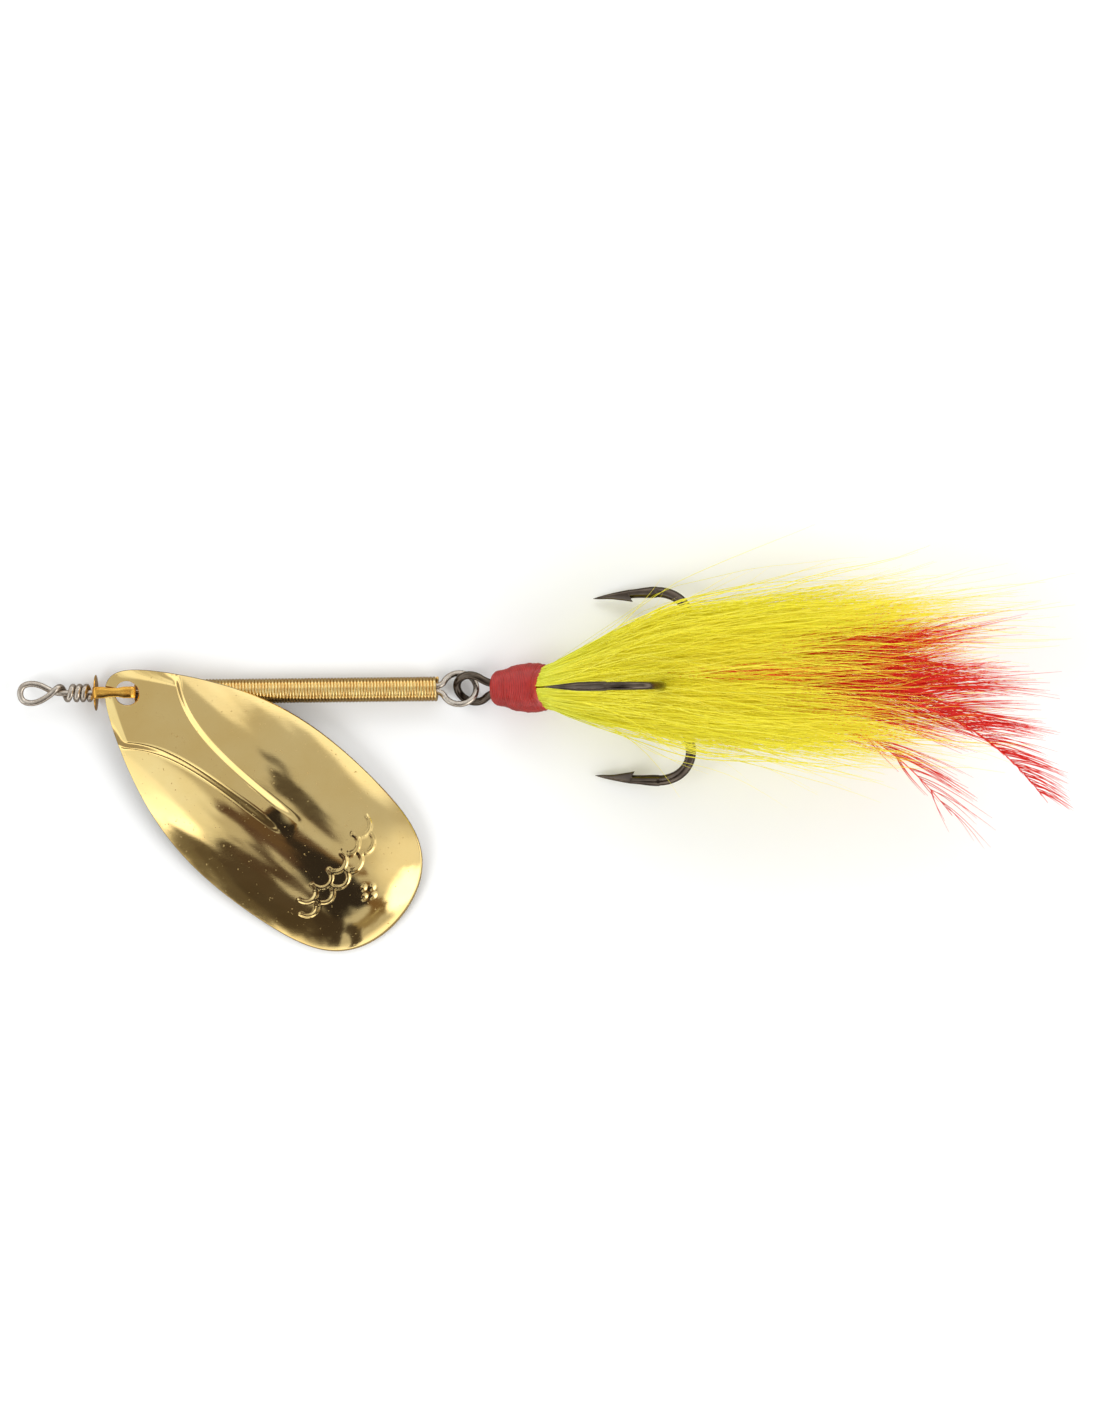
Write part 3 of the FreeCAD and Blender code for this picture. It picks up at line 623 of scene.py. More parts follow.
def clevis_line(s):
    """Place and outward direction on the strip's middle at a distance s from its top centre."""
    half_top = CLEVIS_LENGTH / 2 - CORNER_RADIUS
    bend = CORNER_RADIUS - CLEVIS_THICK / 2
    turn = np.clip((np.abs(s) - half_top) / bend, 0, np.pi / 2)
    past = np.maximum(np.abs(s) - half_top - bend * np.pi / 2, 0)
    x = np.minimum(np.abs(s), half_top) + bend * np.sin(turn)
    z = CLEVIS_HEIGHT - CORNER_RADIUS + bend * np.cos(turn) - past
    middle = CLEVIS_FRONT + CLEVIS_LENGTH / 2
    place = np.stack([middle + np.sign(s) * x, np.zeros_like(s), z], axis=-1)
    out = np.stack([np.sign(s) * np.sin(turn), np.zeros_like(s), np.cos(turn)], axis=-1)
    return place, out


def bored(name, solid, radius, start_x, end_x):
    """The solid with a round hole along X cut through it."""
    drill_line = straight((start_x, 0, 0), (end_x, 0, 0), 4)
    work = placed(name + "_blank", make_mesh(name + "_blank", *solid))
    drill = placed(name + "_drill", make_mesh(name + "_drill", *tube(drill_line, radius, 48)))
    cutter = work.modifiers.new("bore", "BOOLEAN")
    cutter.operation = "DIFFERENCE"
    cutter.solver = "EXACT"
    cutter.object = drill
    graph = bpy.context.evaluated_depsgraph_get()
    mesh = bpy.data.meshes.new_from_object(work.evaluated_get(graph))
    bpy.data.objects.remove(work)
    bpy.data.objects.remove(drill)
    mesh.shade_smooth()
    return mesh


def clevis_half_width(s, ear_centre):
    """Half the strip's width at s: waisted on top, and blended into a round ear."""
    ear = np.sqrt(np.maximum(EAR_RADIUS**2 - (np.abs(s) - ear_centre) ** 2, 0))
    waist = WAIST_HALF_WIDTH + WAIST_SCOOP - np.sqrt(np.maximum(WAIST_SCOOP**2 - s * s, 0))
    strip = np.minimum(STRIP_HALF_WIDTH, waist)
    blend = EAR_BLEND * np.logaddexp(ear / EAR_BLEND, strip / EAR_BLEND)
    on_ear = (np.abs(s) > ear_centre) | (ear > strip + EAR_BLEND_END)
    return np.where(on_ear, ear, blend)


def make_blade_clevis():
    """A stamped strip bent into a stirrup: domed and waisted on top, a round bored ear at each end."""
    half_top = CLEVIS_LENGTH / 2 - CORNER_RADIUS
    bend_length = (CORNER_RADIUS - CLEVIS_THICK / 2) * np.pi / 2
    ear_centre = half_top + bend_length + CLEVIS_HEIGHT - CORNER_RADIUS
    # stations crowd towards the ears' ends, where the outline turns fastest, and on the top
    far = (ear_centre + EAR_RADIUS) * 0.9995
    spread = np.sin(np.linspace(-np.pi / 2, np.pi / 2, 261))
    s = np.sort(np.concatenate([far * spread, np.linspace(-4.6, 4.6, 120)]))
    place, out = clevis_line(s)
    wide, thick = squared_circle(around(56), *STRIP_POWERS)
    on_top = smooth_step((DOME_END - np.abs(s)) / DOME_FADE)[:, None]
    height = CLEVIS_THICK / 2 * thick + on_top * (DOME_RISE * (1 - wide * wide) - DOME_SINK)
    across = clevis_half_width(s, ear_centre)[:, None] * wide
    side = np.broadcast_to((0.0, -1.0, 0.0), place.shape)
    strip = loft(place, side, out, across, height)
    mesh = bored("clevis", strip, EAR_BORE, CLEVIS_FRONT - 1, CLEVIS_FRONT + CLEVIS_LENGTH + 1)
    add_piece("blade_clevis_stamped", mesh, CLEVIS_BRASS, "clevis", "clevis_brass", "blade_clevis")


# ---- blade

BLADE_HOLE_X = 12.55
BLADE_RIM_Z = 1.85
BLADE_YAW = -40.75
BLADE_ROLL = 6.85
BLADE_FRONT = 3.08
BLADE_LENGTH = 47.76
BLADE_THICK = 0.50
BLADE_HOLE = 1.62
CROWN_RADIUS = 22.4
RIB_TIP_HALF_WIDTH = 1.0
RIB_FLARE = 10.1
RIB_FLARE_LENGTH = 5.0
RIB_END = 29.4
RIB_LEAN = 0.03
RIB_FADE = 5.2
RIB_LEFT = (1.20, 1.50)
RIB_RIGHT = (0.60, 0.95)
RIB_EDGE_FADE = 1.8
PANEL_RISE = (0.25, 0.25)
PANEL_CROWN = 0.4
FULLNESS = (0.00349, -0.0207, 0.0268, 0.0659, 0.106)
BLADE_STEPS = 448
BLADE_MIDDLE = 20
RIM_SWELL = 0.035
EDGE_BREAK = 0.04
EMBOSS_DEPTH = 0.10
STROKE = 0.30
SCALE_RADIUS = 1.45
SCALE_SPACING = 2.9
SCALE_ROWS = ((0, 37.5), (0.5, 35.9))
SCALE_SHIFT = -0.6
SCALE_ARC = 70
DOT_MIDDLE = (42.0, 0.4)
DOT_SPACING = 0.85
DOT_RADIUS = 0.52


def half_width_squared(u):
    """Square of the blade's half width at u, measured from the hole towards the tip."""
    return (u + BLADE_FRONT) * (BLADE_LENGTH - u) * np.polyval(FULLNESS, u / 10)


def embossed(u, v):
    """A plain decoration near the tip: two rows of overlapping scales on an arc, and four dots."""
    marks = np.zeros_like(u)
    for stagger, row_u in SCALE_ROWS:
        for step in range(-2, 3):
            centre_v = SCALE_SPACING * (step + stagger) + SCALE_SHIFT
            centre_u = row_u - centre_v**2 / SCALE_ARC
            away = np.hypot(u - centre_u, v - centre_v)
            facing = smooth_step((u - centre_u + 0.35) / 0.5)
            ring = smooth_step(1.5 - 1.5 * np.abs(away - SCALE_RADIUS) / STROKE)
            marks = np.maximum(marks, ring * facing)
    for turn in np.radians((0, 90, 180, 270)):
        dot_u = DOT_MIDDLE[0] + DOT_SPACING * math.cos(turn)
        dot_v = DOT_MIDDLE[1] + DOT_SPACING * math.sin(turn)
        marks = np.maximum(marks, smooth_step((DOT_RADIUS - np.hypot(u - dot_u, v - dot_v)) / 0.36))
    return marks


def blade_height(u, v):
    """Height of the blade's inner face over its rim plane: a dish with a neck panel and a rib.

    RIB_LEFT and RIB_RIGHT are how far each side of the rib reaches and how wide its slope is.
    """
    curve = 1 / (2 * CROWN_RADIUS)
    width_squared = half_width_squared(u)
    inside = np.maximum(width_squared - v * v, 0)
    dish = curve * inside
    half_width = RIB_TIP_HALF_WIDTH + RIB_FLARE * np.exp(-np.maximum(u, -3) / RIB_FLARE_LENGTH)
    off_centre = v - RIB_LEAN * np.maximum(u, 0)
    left = smooth_step((half_width + RIB_LEFT[0] + off_centre) / RIB_LEFT[1])
    right = smooth_step((half_width + RIB_RIGHT[0] - off_centre) / RIB_RIGHT[1])
    on_rib = left * right * smooth_step((RIB_END - u) / RIB_FADE)
    edge_distance = inside / np.hypot(6.0, 2 * v)
    on_rib = on_rib * np.sin(np.pi / 2 * np.clip(edge_distance / RIB_EDGE_FADE, 0, 1))
    rise = PANEL_RISE[0] + PANEL_RISE[1] * smooth_step(u / 8)
    panel = curve * (width_squared - PANEL_CROWN * v * v) + rise
    return dish + on_rib * (panel - dish)


def blade_top(u, v):
    return blade_height(u, v) + BLADE_THICK + EMBOSS_DEPTH * embossed(u, v)


def blade_outline():
    """Points on the blade's edge, evenly spaced along it."""
    turn = np.linspace(0, np.pi, 4001)
    u = -BLADE_FRONT + (BLADE_LENGTH + BLADE_FRONT) * (1 - np.cos(turn)) / 2
    v = np.sqrt(np.maximum(half_width_squared(u), 0))
    run = run_along(np.stack([u, v], axis=-1))
    spots = np.linspace(0, run[-1], BLADE_STEPS // 2 + 1)
    side_u = np.interp(spots, run, u)
    side_v = np.interp(spots, run, v)
    return np.concatenate([side_u, side_u[-2:0:-1]]), np.concatenate([side_v, -side_v[-2:0:-1]])


def blade_rings(height, shares, edge_u, edge_v):
    """Rings of points on a face of the blade, from the hole out to the edge."""
    reach = np.hypot(edge_u, edge_v)
    hole_u = edge_u / reach * BLADE_HOLE
    hole_v = edge_v / reach * BLADE_HOLE
    u = hole_u + (edge_u - hole_u) * shares[:, None]
    v = hole_v + (edge_v - hole_v) * shares[:, None]
    return np.stack([u, v, height(u, v)], axis=-1)


def lowered(ring, shares):
    """Copies of a ring of points, lowered by shares of the blade's thickness."""
    return [ring - (0, 0, BLADE_THICK * share) for share in shares]


def make_spinner_blade():
    """A stamped, plated blade: top and under faces, rolled rim and a bored hole, as one skin."""
    edge_u, edge_v = blade_outline()
    # the rings lie closest over the embossed decoration
    shares = [np.linspace(0, 1, 112), np.linspace(0.735, 0.935, 72), [0.985, 0.993]]
    shares = np.unique(np.round(np.concatenate(shares), 5))
    top = blade_rings(blade_top, shares, edge_u, edge_v)
    under = blade_rings(blade_height, np.linspace(1, 0, 28), edge_u, edge_v)
    outward = unit(np.stack([edge_u - BLADE_MIDDLE, edge_v, np.zeros_like(edge_u)], axis=-1))
    rim = lowered(top[-1] + outward * RIM_SWELL, (0.30, 0.70))
    hole = lowered(top[0], (0.88, 0.12))
    # the edges of the rim and of the hole are broken a little
    top[-1] -= outward * EDGE_BREAK + (0, 0, 0.03)
    under[0] -= outward * EDGE_BREAK
    top[0, :, :2] *= 1.03
    under[-1, :, :2] *= 1.03
    points, faces = ring_skin(np.concatenate([top, rim, under, hole]))
    points = turned(turned(points, "Z", BLADE_YAW), "X", BLADE_ROLL)
    points = points + (BLADE_HOLE_X, 0, BLADE_RIM_Z)
    add_piece("spinner_blade_plated", (points, faces), GOLD, "blade", "blade_gold", "spinner_blade")


# ---- treble hook

HOOK_PIVOT = 59.475
HOOK_PITCH = 19.3
HOOK_RADIUS = 0.55
GAPE = 14.66
BEND_X = 28.74
BEND_INNER = 8.55
BEND_OUTER = 5.41
POINT_X = 14.5
SHANK_START = 4.2
THIRD_SHANK_START = 5.3
SHANK_OFFSET = 0.70
HOOK_EYE_FRONT = -2.735
HOOK_EYE_RADIUS = 2.20
HOOK_EYE_WIRE = 0.525
HOOK_EYE_LEG = 4.0
HOOK_EYE_ROLL = 35.0
SPEAR_LEAN = 0.85
POINT_LENGTH = 4.9
BARB_TIP = 2.0
BARB_ROOT = 5.1
BARB_LIFT = 0.62
BARB_LEAN = 0.95
FORGE_SPREAD = 0.13
FORGE_SQUARE = 0.28


def in_hook_frame(points):
    """Points given along the treble's shanks, placed where it hangs on the rear loop."""
    return turned(points, "Y", -HOOK_PITCH) + (HOOK_PIVOT, 0, 0)


def hung(solid):
    """A solid given along the treble's shanks, placed where it hangs."""
    points, faces = solid
    return in_hook_frame(points), faces


def hook_arm(angle, start):
    """Shank, bend, spear, barb and point of one hook, as one forged wire."""
    spear_x = BEND_X - BEND_OUTER
    shank = straight((start, SHANK_OFFSET, 0), (BEND_X - BEND_INNER, SHANK_OFFSET, 0), 50)
    first = arc((BEND_X - BEND_INNER, SHANK_OFFSET + BEND_INNER, 0), BEND_INNER, -90, 0, 56)
    second = arc((spear_x, GAPE - BEND_OUTER, 0), BEND_OUTER, 0, 90, 40)
    spear = straight((spear_x, GAPE, 0), (POINT_X, GAPE, 0), 110)
    line = joined(shank, first, second, spear)
    # the spear leans in towards the shank, most at its point
    lean = np.clip((spear_x - line[:, 0]) / (spear_x - POINT_X), 0, 1)
    on_spear = np.arange(len(line)) >= len(line) - len(spear)
    line[:, 1] -= np.where(on_spear, SPEAR_LEAN * lean**1.6, 0)
    # the wire is forged flatter round the bend, and tapers to the point
    to_point = np.where(on_spear, line[:, 0] - POINT_X, 99.0)
    past_shank = run_along(line) - (BEND_X - BEND_INNER - start)
    forged = smooth_step(past_shank / 6) * smooth_step((to_point - 5.5) / 3)
    taper = np.clip(to_point / POINT_LENGTH, 0.02, 1)
    half_plane = HOOK_RADIUS + FORGE_SPREAD * forged + 0.06 * smooth_step((9.8 - to_point) / 1.6)
    half_depth = HOOK_RADIUS + 0.08 * np.exp(-(((to_point - 9) / 5) ** 2))
    angles = around(28)
    power = (1 - FORGE_SQUARE * forged)[:, None]
    wide, deep = squared_circle(angles, power, power)
    across = (half_plane * taper**0.62)[:, None] * wide
    height = (half_depth * taper**0.75)[:, None] * deep
    tangents = unit(np.gradient(line, axis=0))
    side = np.stack([-tangents[:, 1], tangents[:, 0], np.zeros(len(line))], axis=-1)
    up = np.broadcast_to((0.0, 0.0, 1.0), line.shape)
    points, faces = loft(line, side, up, across, height)
    # the barb is cut up from the spear's inner side and leans away from the point
    rings = points[: across.size].reshape(*across.shape, 3)
    barb_share = np.clip((to_point - BARB_TIP) / 3.0, 0, 1) * (to_point < BARB_ROOT)
    lift = (BARB_LIFT * barb_share**1.3)[:, None] * np.clip(np.cos(angles), 0, 1) ** 4
    rings[..., 1] -= lift
    rings[..., 0] += lift * BARB_LEAN
    upright = points[:, [0, 2, 1]] * (1, -1, 1)
    return turned(upright, "X", angle), faces


def hook_eye():
    """The eye of the double hook: two legs that spread into a ring."""
    ring_x = HOOK_EYE_FRONT + HOOK_EYE_RADIUS
    leg_end = SHANK_START + 1.0 - ring_x
    half = teardrop(ring_x, HOOK_EYE_RADIUS, HOOK_EYE_LEG, SHANK_OFFSET - 0.1, leg_end, -1)
    other = half[::-1] * (1, -1, 1)
    return tube(turned(joined(half, other), "X", HOOK_EYE_ROLL), HOOK_EYE_WIRE, 24)


def make_hooks():
    double = merged(hook_arm(120, SHANK_START), hook_arm(240, SHANK_START), hook_eye())
    third = hook_arm(0, THIRD_SHANK_START)
    add_piece("double_hook_forged", hung(double), BLACK_NICKEL, "hook", "hook_black_nickel", "double_hook")
    add_piece("third_hook_forged", hung(third), BLACK_NICKEL, "hook", "hook_black_nickel", "third_hook")


# ---- thread

WHIP_PROFILE = (
    (2.60, 1.78), (2.62, 2.05), (2.85, 2.24), (3.60, 2.38), (4.60, 2.55), (5.20, 2.92), (6.20, 3.10),
    (7.60, 3.28), (8.90, 3.20), (9.95, 3.02), (10.30, 2.84), (10.34, 2.62),
)
WHIP_INSIDE = ((10.28, 2.60), (5.25, 2.60), (5.20, 1.62), (4.20, 1.60), (4.15, 1.78), (2.66, 1.76))
THREAD_PITCH = 0.27
WHIP_SET_BACK = 0.8
WHIP_SIDES = 150
THREAD_HEIGHT = 0.10
THREAD_SINK = 0.07
WHIP_OVAL = 0.018


def make_thread_whipping():
    """Helical turns of thread under varnish, over the bound ends of the hair."""
    profile = np.array(WHIP_PROFILE)
    run = run_along(profile)
    spots = np.linspace(0, run[-1], 330)
    x = np.interp(spots, run, profile[:, 0])[:, None]
    radius = np.interp(spots, run, profile[:, 1])[:, None]
    turn = np.linspace(0, 1, WHIP_SIDES, endpoint=False)[None, :]
    wound = np.round(x / THREAD_PITCH - turn) + turn
    crest = np.sqrt(np.clip(1 - (2 * (x / THREAD_PITCH - wound)) ** 2, 0, 1))
    # each turn stands out unevenly, over a barrel that is a little lumpy and oval
    random = np.random.default_rng(21)
    knots = random.normal(0, 1, 400)
    slow = np.interp(wound * 3 % 400, np.arange(400), knots)
    lumps = np.interp(wound * 0.55 % 400, np.arange(400), knots[::-1])
    on_barrel = smooth_step((x - 2.7) / 0.4) * smooth_step((10.3 - x) / 0.4)
    relief = on_barrel * ((THREAD_HEIGHT + 0.025 * slow) * crest + 0.035 * lumps) - THREAD_SINK
    oval = 1 + WHIP_OVAL * np.cos(2 * np.pi * (2 * turn + 0.1))
    angle = 2 * np.pi * turn
    # the rear edge is set back on top, where the third hook leaves it
    set_back = WHIP_SET_BACK * np.maximum(np.sin(angle), 0) ** 2
    outside = revolved(x, (radius + relief) * oval, angle)
    outside[..., 0] -= set_back * smooth_step((x - 7.8) / 2.5)
    inner = np.array(WHIP_INSIDE)
    within = revolved(inner[:, :1], inner[:, 1:], angle)
    within[..., 0] -= set_back * (inner[:, :1] > 9)
    solid = hung(ring_skin(np.concatenate([outside, within])))
    obj = add_piece("thread_whipping_wound", solid, THREAD, "hook", "thread_red", "thread_whipping")
    # painted shade: how dark the thread is painted between its turns, none inside
    painted_groove_shade = (1 - crest) * 0.8 * on_barrel
    tint(obj, "painted_groove_shade", np.concatenate([painted_groove_shade, np.zeros((len(inner), WHIP_SIDES))]))


# ---- hair

HAIR_ROOT = 5.4
ROOT_RADIUS = 1.85
ROOT_DEPTH = 0.72
WHIP_REAR = 9.95
FLYAWAY_SHARE = 0.09
CLUMPS = 70
HAIR_SPREAD = 5.6
SPREAD_LENGTH = 14
TAIL_END = 66
TAIL_DROOP = 9.0
TAIL_SWAY = 1.6
LOCK_DRIFT = 1.5
HAIR_DRIFT = 1.65
FLATNESS = 0.58
HAIR_STATIONS = 17
SHORT_SHARE = 0.22
LONG_SHARE = 0.10
LONG_EXTRA = 17
COVER_END = 35
COVER_SHARE = 0.93
SHORTEST_END = 20
LONGEST_END = 79
REST_Z = -2.415


def spread_at(x):
    """How far the outermost hair stands from the shank line at x."""
    past = np.maximum(x - WHIP_REAR, 0)
    return HAIR_SPREAD * (1 - np.exp(-past / SPREAD_LENGTH))


def tail_droop(x):
    """How far the free end of the tail sinks below the shank line at x."""
    return TAIL_DROOP * np.clip((x - BEND_X) / (TAIL_END - BEND_X), 0, None) ** 2


def tail_sway(x):
    """How far the whole tail leans to one side at x."""
    return TAIL_SWAY * smooth_step((x - 8) / 22)


def hair_ends(random, count, reach, over_feathers):
    """Where each hair ends; the hair that lies over the feathers is mostly short."""
    end = random.normal(reach - 3, 5, count)
    end = np.where(random.random(count) < SHORT_SHARE, random.uniform(26, reach, count), end)
    longer = random.random(count) < LONG_SHARE
    end = np.where(longer, random.uniform(reach, reach + LONG_EXTRA, count), end)
    short = np.minimum(random.normal(COVER_END, 7, count), end)
    end = end + over_feathers * (random.random(count) < COVER_SHARE) * (short - end)
    return np.clip(end, SHORTEST_END, LONGEST_END)


def hair_coat(name, node, middle, width, count, seed, reach, thick, waviness, sides):
    """One coat of a tuft: bound roots, a spreading belly, and thin uneven tips."""
    random = np.random.default_rng(seed)
    angle = np.radians(middle + random.uniform(-width, width, count))
    share = random.random(count) ** 0.62
    fly = random.random(count) < FLYAWAY_SHARE
    share = np.where(fly, random.uniform(0.9, 1.28, count), share * 0.93)
    root_radius = (ROOT_RADIUS + ROOT_DEPTH * share.clip(0, 1))[:, None]
    lock = random.integers(0, CLUMPS, count)
    lock_drift = random.normal(0, 1, (2, CLUMPS))[:, lock]
    straying = np.where(random.random(count) < 0.3, 1.5, 0.85)
    drift = random.normal(0, 1, (2, count)) * np.where(fly, 1.7, straying)
    aside = -np.sin(angle) * share * HAIR_SPREAD + LOCK_DRIFT * lock_drift[0] + HAIR_DRIFT * drift[0]
    over_feathers = (1 - smooth_step((np.abs(aside) - 4.0) / 2.0)) * (np.cos(angle) > -0.2)
    end = hair_ends(random, count, reach, over_feathers)
    start = random.uniform(HAIR_ROOT, HAIR_ROOT + 2.5, count)
    t = np.linspace(0, 1, HAIR_STATIONS)[None, :] ** 1.08
    x = start[:, None] + (end - start)[:, None] * t
    out = root_radius + share[:, None] * spread_at(x) * random.normal(1, 0.05, count)[:, None]
    # hairs gather in locks, and each one wanders, waves, and curls near its tip
    free = smooth_step((x - WHIP_REAR) / 20)
    phase = random.uniform(0, 2 * np.pi, (2, count, 1))
    rate = random.uniform(0.18, 0.52, (2, count, 1))
    wave = np.sin(phase + rate * x) * random.uniform(0.15, 1.0, (2, count, 1)) * waviness
    curl = random.normal(0, 1, (2, count, 1)) * np.where(fly, 2.6, 1.4)[:, None] * t**4
    in_lock = lock_drift[..., None] * (0.5 + (LOCK_DRIFT - 0.5) * t**2)
    alone = drift[..., None] * (0.45 + (HAIR_DRIFT - 0.45) * t**2)
    stray = (in_lock + alone + wave + curl) * free
    y = -np.sin(angle)[:, None] * out + stray[0] + tail_sway(x)
    flat = FLATNESS + (1 - FLATNESS) * np.exp(-np.maximum(x - WHIP_REAR, 0) / 9)
    z = np.cos(angle)[:, None] * (root_radius + (out - root_radius) * flat)
    z = z + 0.6 * stray[1] - tail_droop(x)
    lines = in_hook_frame(np.stack([x, y, z], axis=-1))
    width_of = thick * random.uniform(0.75, 1.25, count)[:, None] * np.where(fly, 0.85, 1.0)[:, None]
    tip_share = np.maximum(t - 0.5, 0) / 0.5
    radii = width_of * np.where(t < 0.5, 0.85 + 0.3 * t, 1.0 - 0.86 * tip_share**1.5)
    points, faces = strands(lines, radii, sides)
    # hair that would pass through the table lies along it instead
    low = REST_Z + 0.12
    near_floor = points[:, 2] < low + 1
    points[:, 2] = np.where(near_floor, low + np.exp(points[:, 2] - low - 1), points[:, 2])
    obj = add_piece(name, (points, faces), YELLOW_HAIR, "hook", "hair_yellow", node)
    tint_strands(obj, random.random(count), t, sides)


def hair_tuft(side, middle, width, count, seed, reach):
    """A tuft of bucktail: long guard hairs, with finer, wavier hair among them."""
    node = "bucktail_tuft_" + side
    guard = "bucktail_" + side + "_guard_hair"
    soft = "bucktail_" + side + "_soft_hair"
    hair_coat(guard, node, middle, width, count, seed, reach, 0.064, 0.45, 4)
    hair_coat(soft, node, middle, width, int(count * 1.35), seed + 20, reach - 4, 0.046, 0.75, 3)


def make_hair():
    hair_tuft("right", 62.5, 59, 1500, 3, 59)
    hair_tuft("left", -62.5, 59, 1500, 4, 62)
    hair_tuft("under", 180, 62, 800, 5, 50)


# ---- hackle feathers

FEATHER_ROOT_X = 69.6
FEATHER_ROOT_Z = 1.70
FEATHER_SLOPE = 12.0
FEATHER_GAP = 0.32
FEATHER_ARCH = 4.6
BARB_STATIONS = 10
BARB_SIDES = 3
# reach, sideways curve and its power, layer, seed, where the barbs start, how pointed the feather
# is, and for the upper and lower barbs their lean, length and count
FEATHERS = {
    "upper": (48.0, 4.0, 0.8, 1, 11, 0.10, 0.25, (6, 23, 210), (9, 22, 210)),
    "middle": (52.0, -1.6, 2.6, 0, 12, 0.10, 0.25, (9, 24, 210), (10, 22, 210)),
    "lower": (66.6, -16.0, 6.0, -1, 13, 0.20, 0.80, (22, 22, 420), (4, 2.6, 260)),
    "outer": (54.0, -17.6, 4.2, -2, 14, 0.50, 0.40, (12, 17, 50), (6, 9, 24)),
}


def barbs(random, quill, share, side, lean, longest, count, first, pointed):
    """The lines of the barbs on one side of a quill, and how thick each one is."""
    spot = np.sort(random.uniform(first, 0.985, count))
    base, ahead = [
        np.stack([np.interp(spots, share, values) for values in quill.T], axis=-1)
        for spots in (spot, spot + 0.01)
    ]
    heading = np.arctan2((ahead - base)[:, 1], (ahead - base)[:, 0])
    length = longest * (1 - pointed * spot**3) * random.uniform(0.62, 1.08, count)
    gathered = np.interp(spot, np.linspace(0, 1, 40), random.normal(0, 0.08, 40))
    angle = heading + side * np.radians(lean) * random.uniform(0.75, 1.25, count) + gathered
    t = np.linspace(0, 1, BARB_STATIONS)[None, :]
    bow = random.uniform(-0.14, 0.03, count)[:, None] * side
    direction = angle[:, None] + side * 0.30 * (1 - t) ** 2 + bow * t
    step = length[:, None] / (BARB_STATIONS - 1)
    x = base[:, :1] + np.cumsum(np.cos(direction) * step, axis=1) - np.cos(direction[:, :1]) * step
    y = base[:, 1:2] + np.cumsum(np.sin(direction) * step, axis=1) - np.sin(direction[:, :1]) * step
    rise = random.normal(0.20, 0.50, count)[:, None] * t**1.4
    radii = random.uniform(0.050, 0.082, count)[:, None] * (1 - 0.75 * t**1.8)
    return np.stack([x, y, base[:, 2:3] + rise], axis=-1), radii


def feather(place, reach, sideways, sweep, layer, seed, first, pointed, upper, lower):
    """A hackle: a tapering quill with separate barbs that sweep back along it."""
    random = np.random.default_rng(seed)
    share = np.linspace(0, 1, 90)
    arch = FEATHER_ARCH * np.sin(np.pi * share)
    quill = np.stack([reach * share, sideways * share**sweep, arch], axis=-1)
    solids = [tube(quill, 0.20 * (1 - share) ** 0.7 + 0.035, 8)]
    quill_points = len(solids[0][0])
    along_values = [np.full(quill_points, 0.5)]
    shade_values = [np.full(quill_points, 0.75)]
    t = np.linspace(0, 1, BARB_STATIONS)[None, :]
    for side, (lean, longest, count) in ((1, upper), (-1, lower)):
        lines, radii = barbs(random, quill, share, side, lean, longest, count, first, pointed)
        solids.append(strands(lines, radii, BARB_SIDES))
        along_values.append(np.repeat(np.broadcast_to(t, radii.shape), BARB_SIDES))
        shade_values.append(np.repeat(random.random(count), BARB_STATIONS * BARB_SIDES))
    points, faces = merged(*solids)
    root = (FEATHER_ROOT_X, 0, FEATHER_ROOT_Z + layer * FEATHER_GAP)
    solid = (turned(points, "Y", -FEATHER_SLOPE) + root, faces)
    obj = add_piece("hackle_" + place, solid, RED_HACKLE, "hook", "hackle_red", "hackle_feather_" + place)
    tint(obj, "shade", np.concatenate(shade_values))
    tint(obj, "along", np.concatenate(along_values))


def make_feathers():
    for place, shape in FEATHERS.items():
        feather(place, *shape)


def parting_strands():
    """Loose red barbs that lie in the parting of the hair, from behind the third hook."""
    random = np.random.default_rng(31)
    count = 34
    t = np.linspace(0, 1, 20)[None, :]
    start = random.uniform(9, 22, count)[:, None]
    end = random.uniform(34, 54, count)[:, None]
    x = start + (end - start) * t
    y = tail_sway(x) + random.normal(0, 0.16, (count, 1)) * (1 + 4 * t**2)
    y = y + 0.10 * np.sin(random.uniform(0, 6, (count, 1)) + 0.4 * x)
    z = 1.9 + 0.60 * spread_at(x) * random.uniform(0.80, 0.98, (count, 1)) - tail_droop(x)
    lines = in_hook_frame(np.stack([x, y, z], axis=-1))
    radii = random.uniform(0.05, 0.075, (count, 1)) * (1 - 0.75 * t**2)
    solid = strands(lines, radii, BARB_SIDES)
    obj = add_piece("hackle_loose_barbs", solid, RED_HACKLE, "hook", "hackle_red")
    tint_strands(obj, random.random(count), t, BARB_SIDES)


# ---- stage, light and camera

FLOOR_HALF = 3000
GLOW_START = 0.15
GLOW_FULL = 0.9
GLOW = 0.25
FLOOR_PAINTED_DARK_IN_REFLECTIONS = (0.30, 0.28, 0.26, 1)


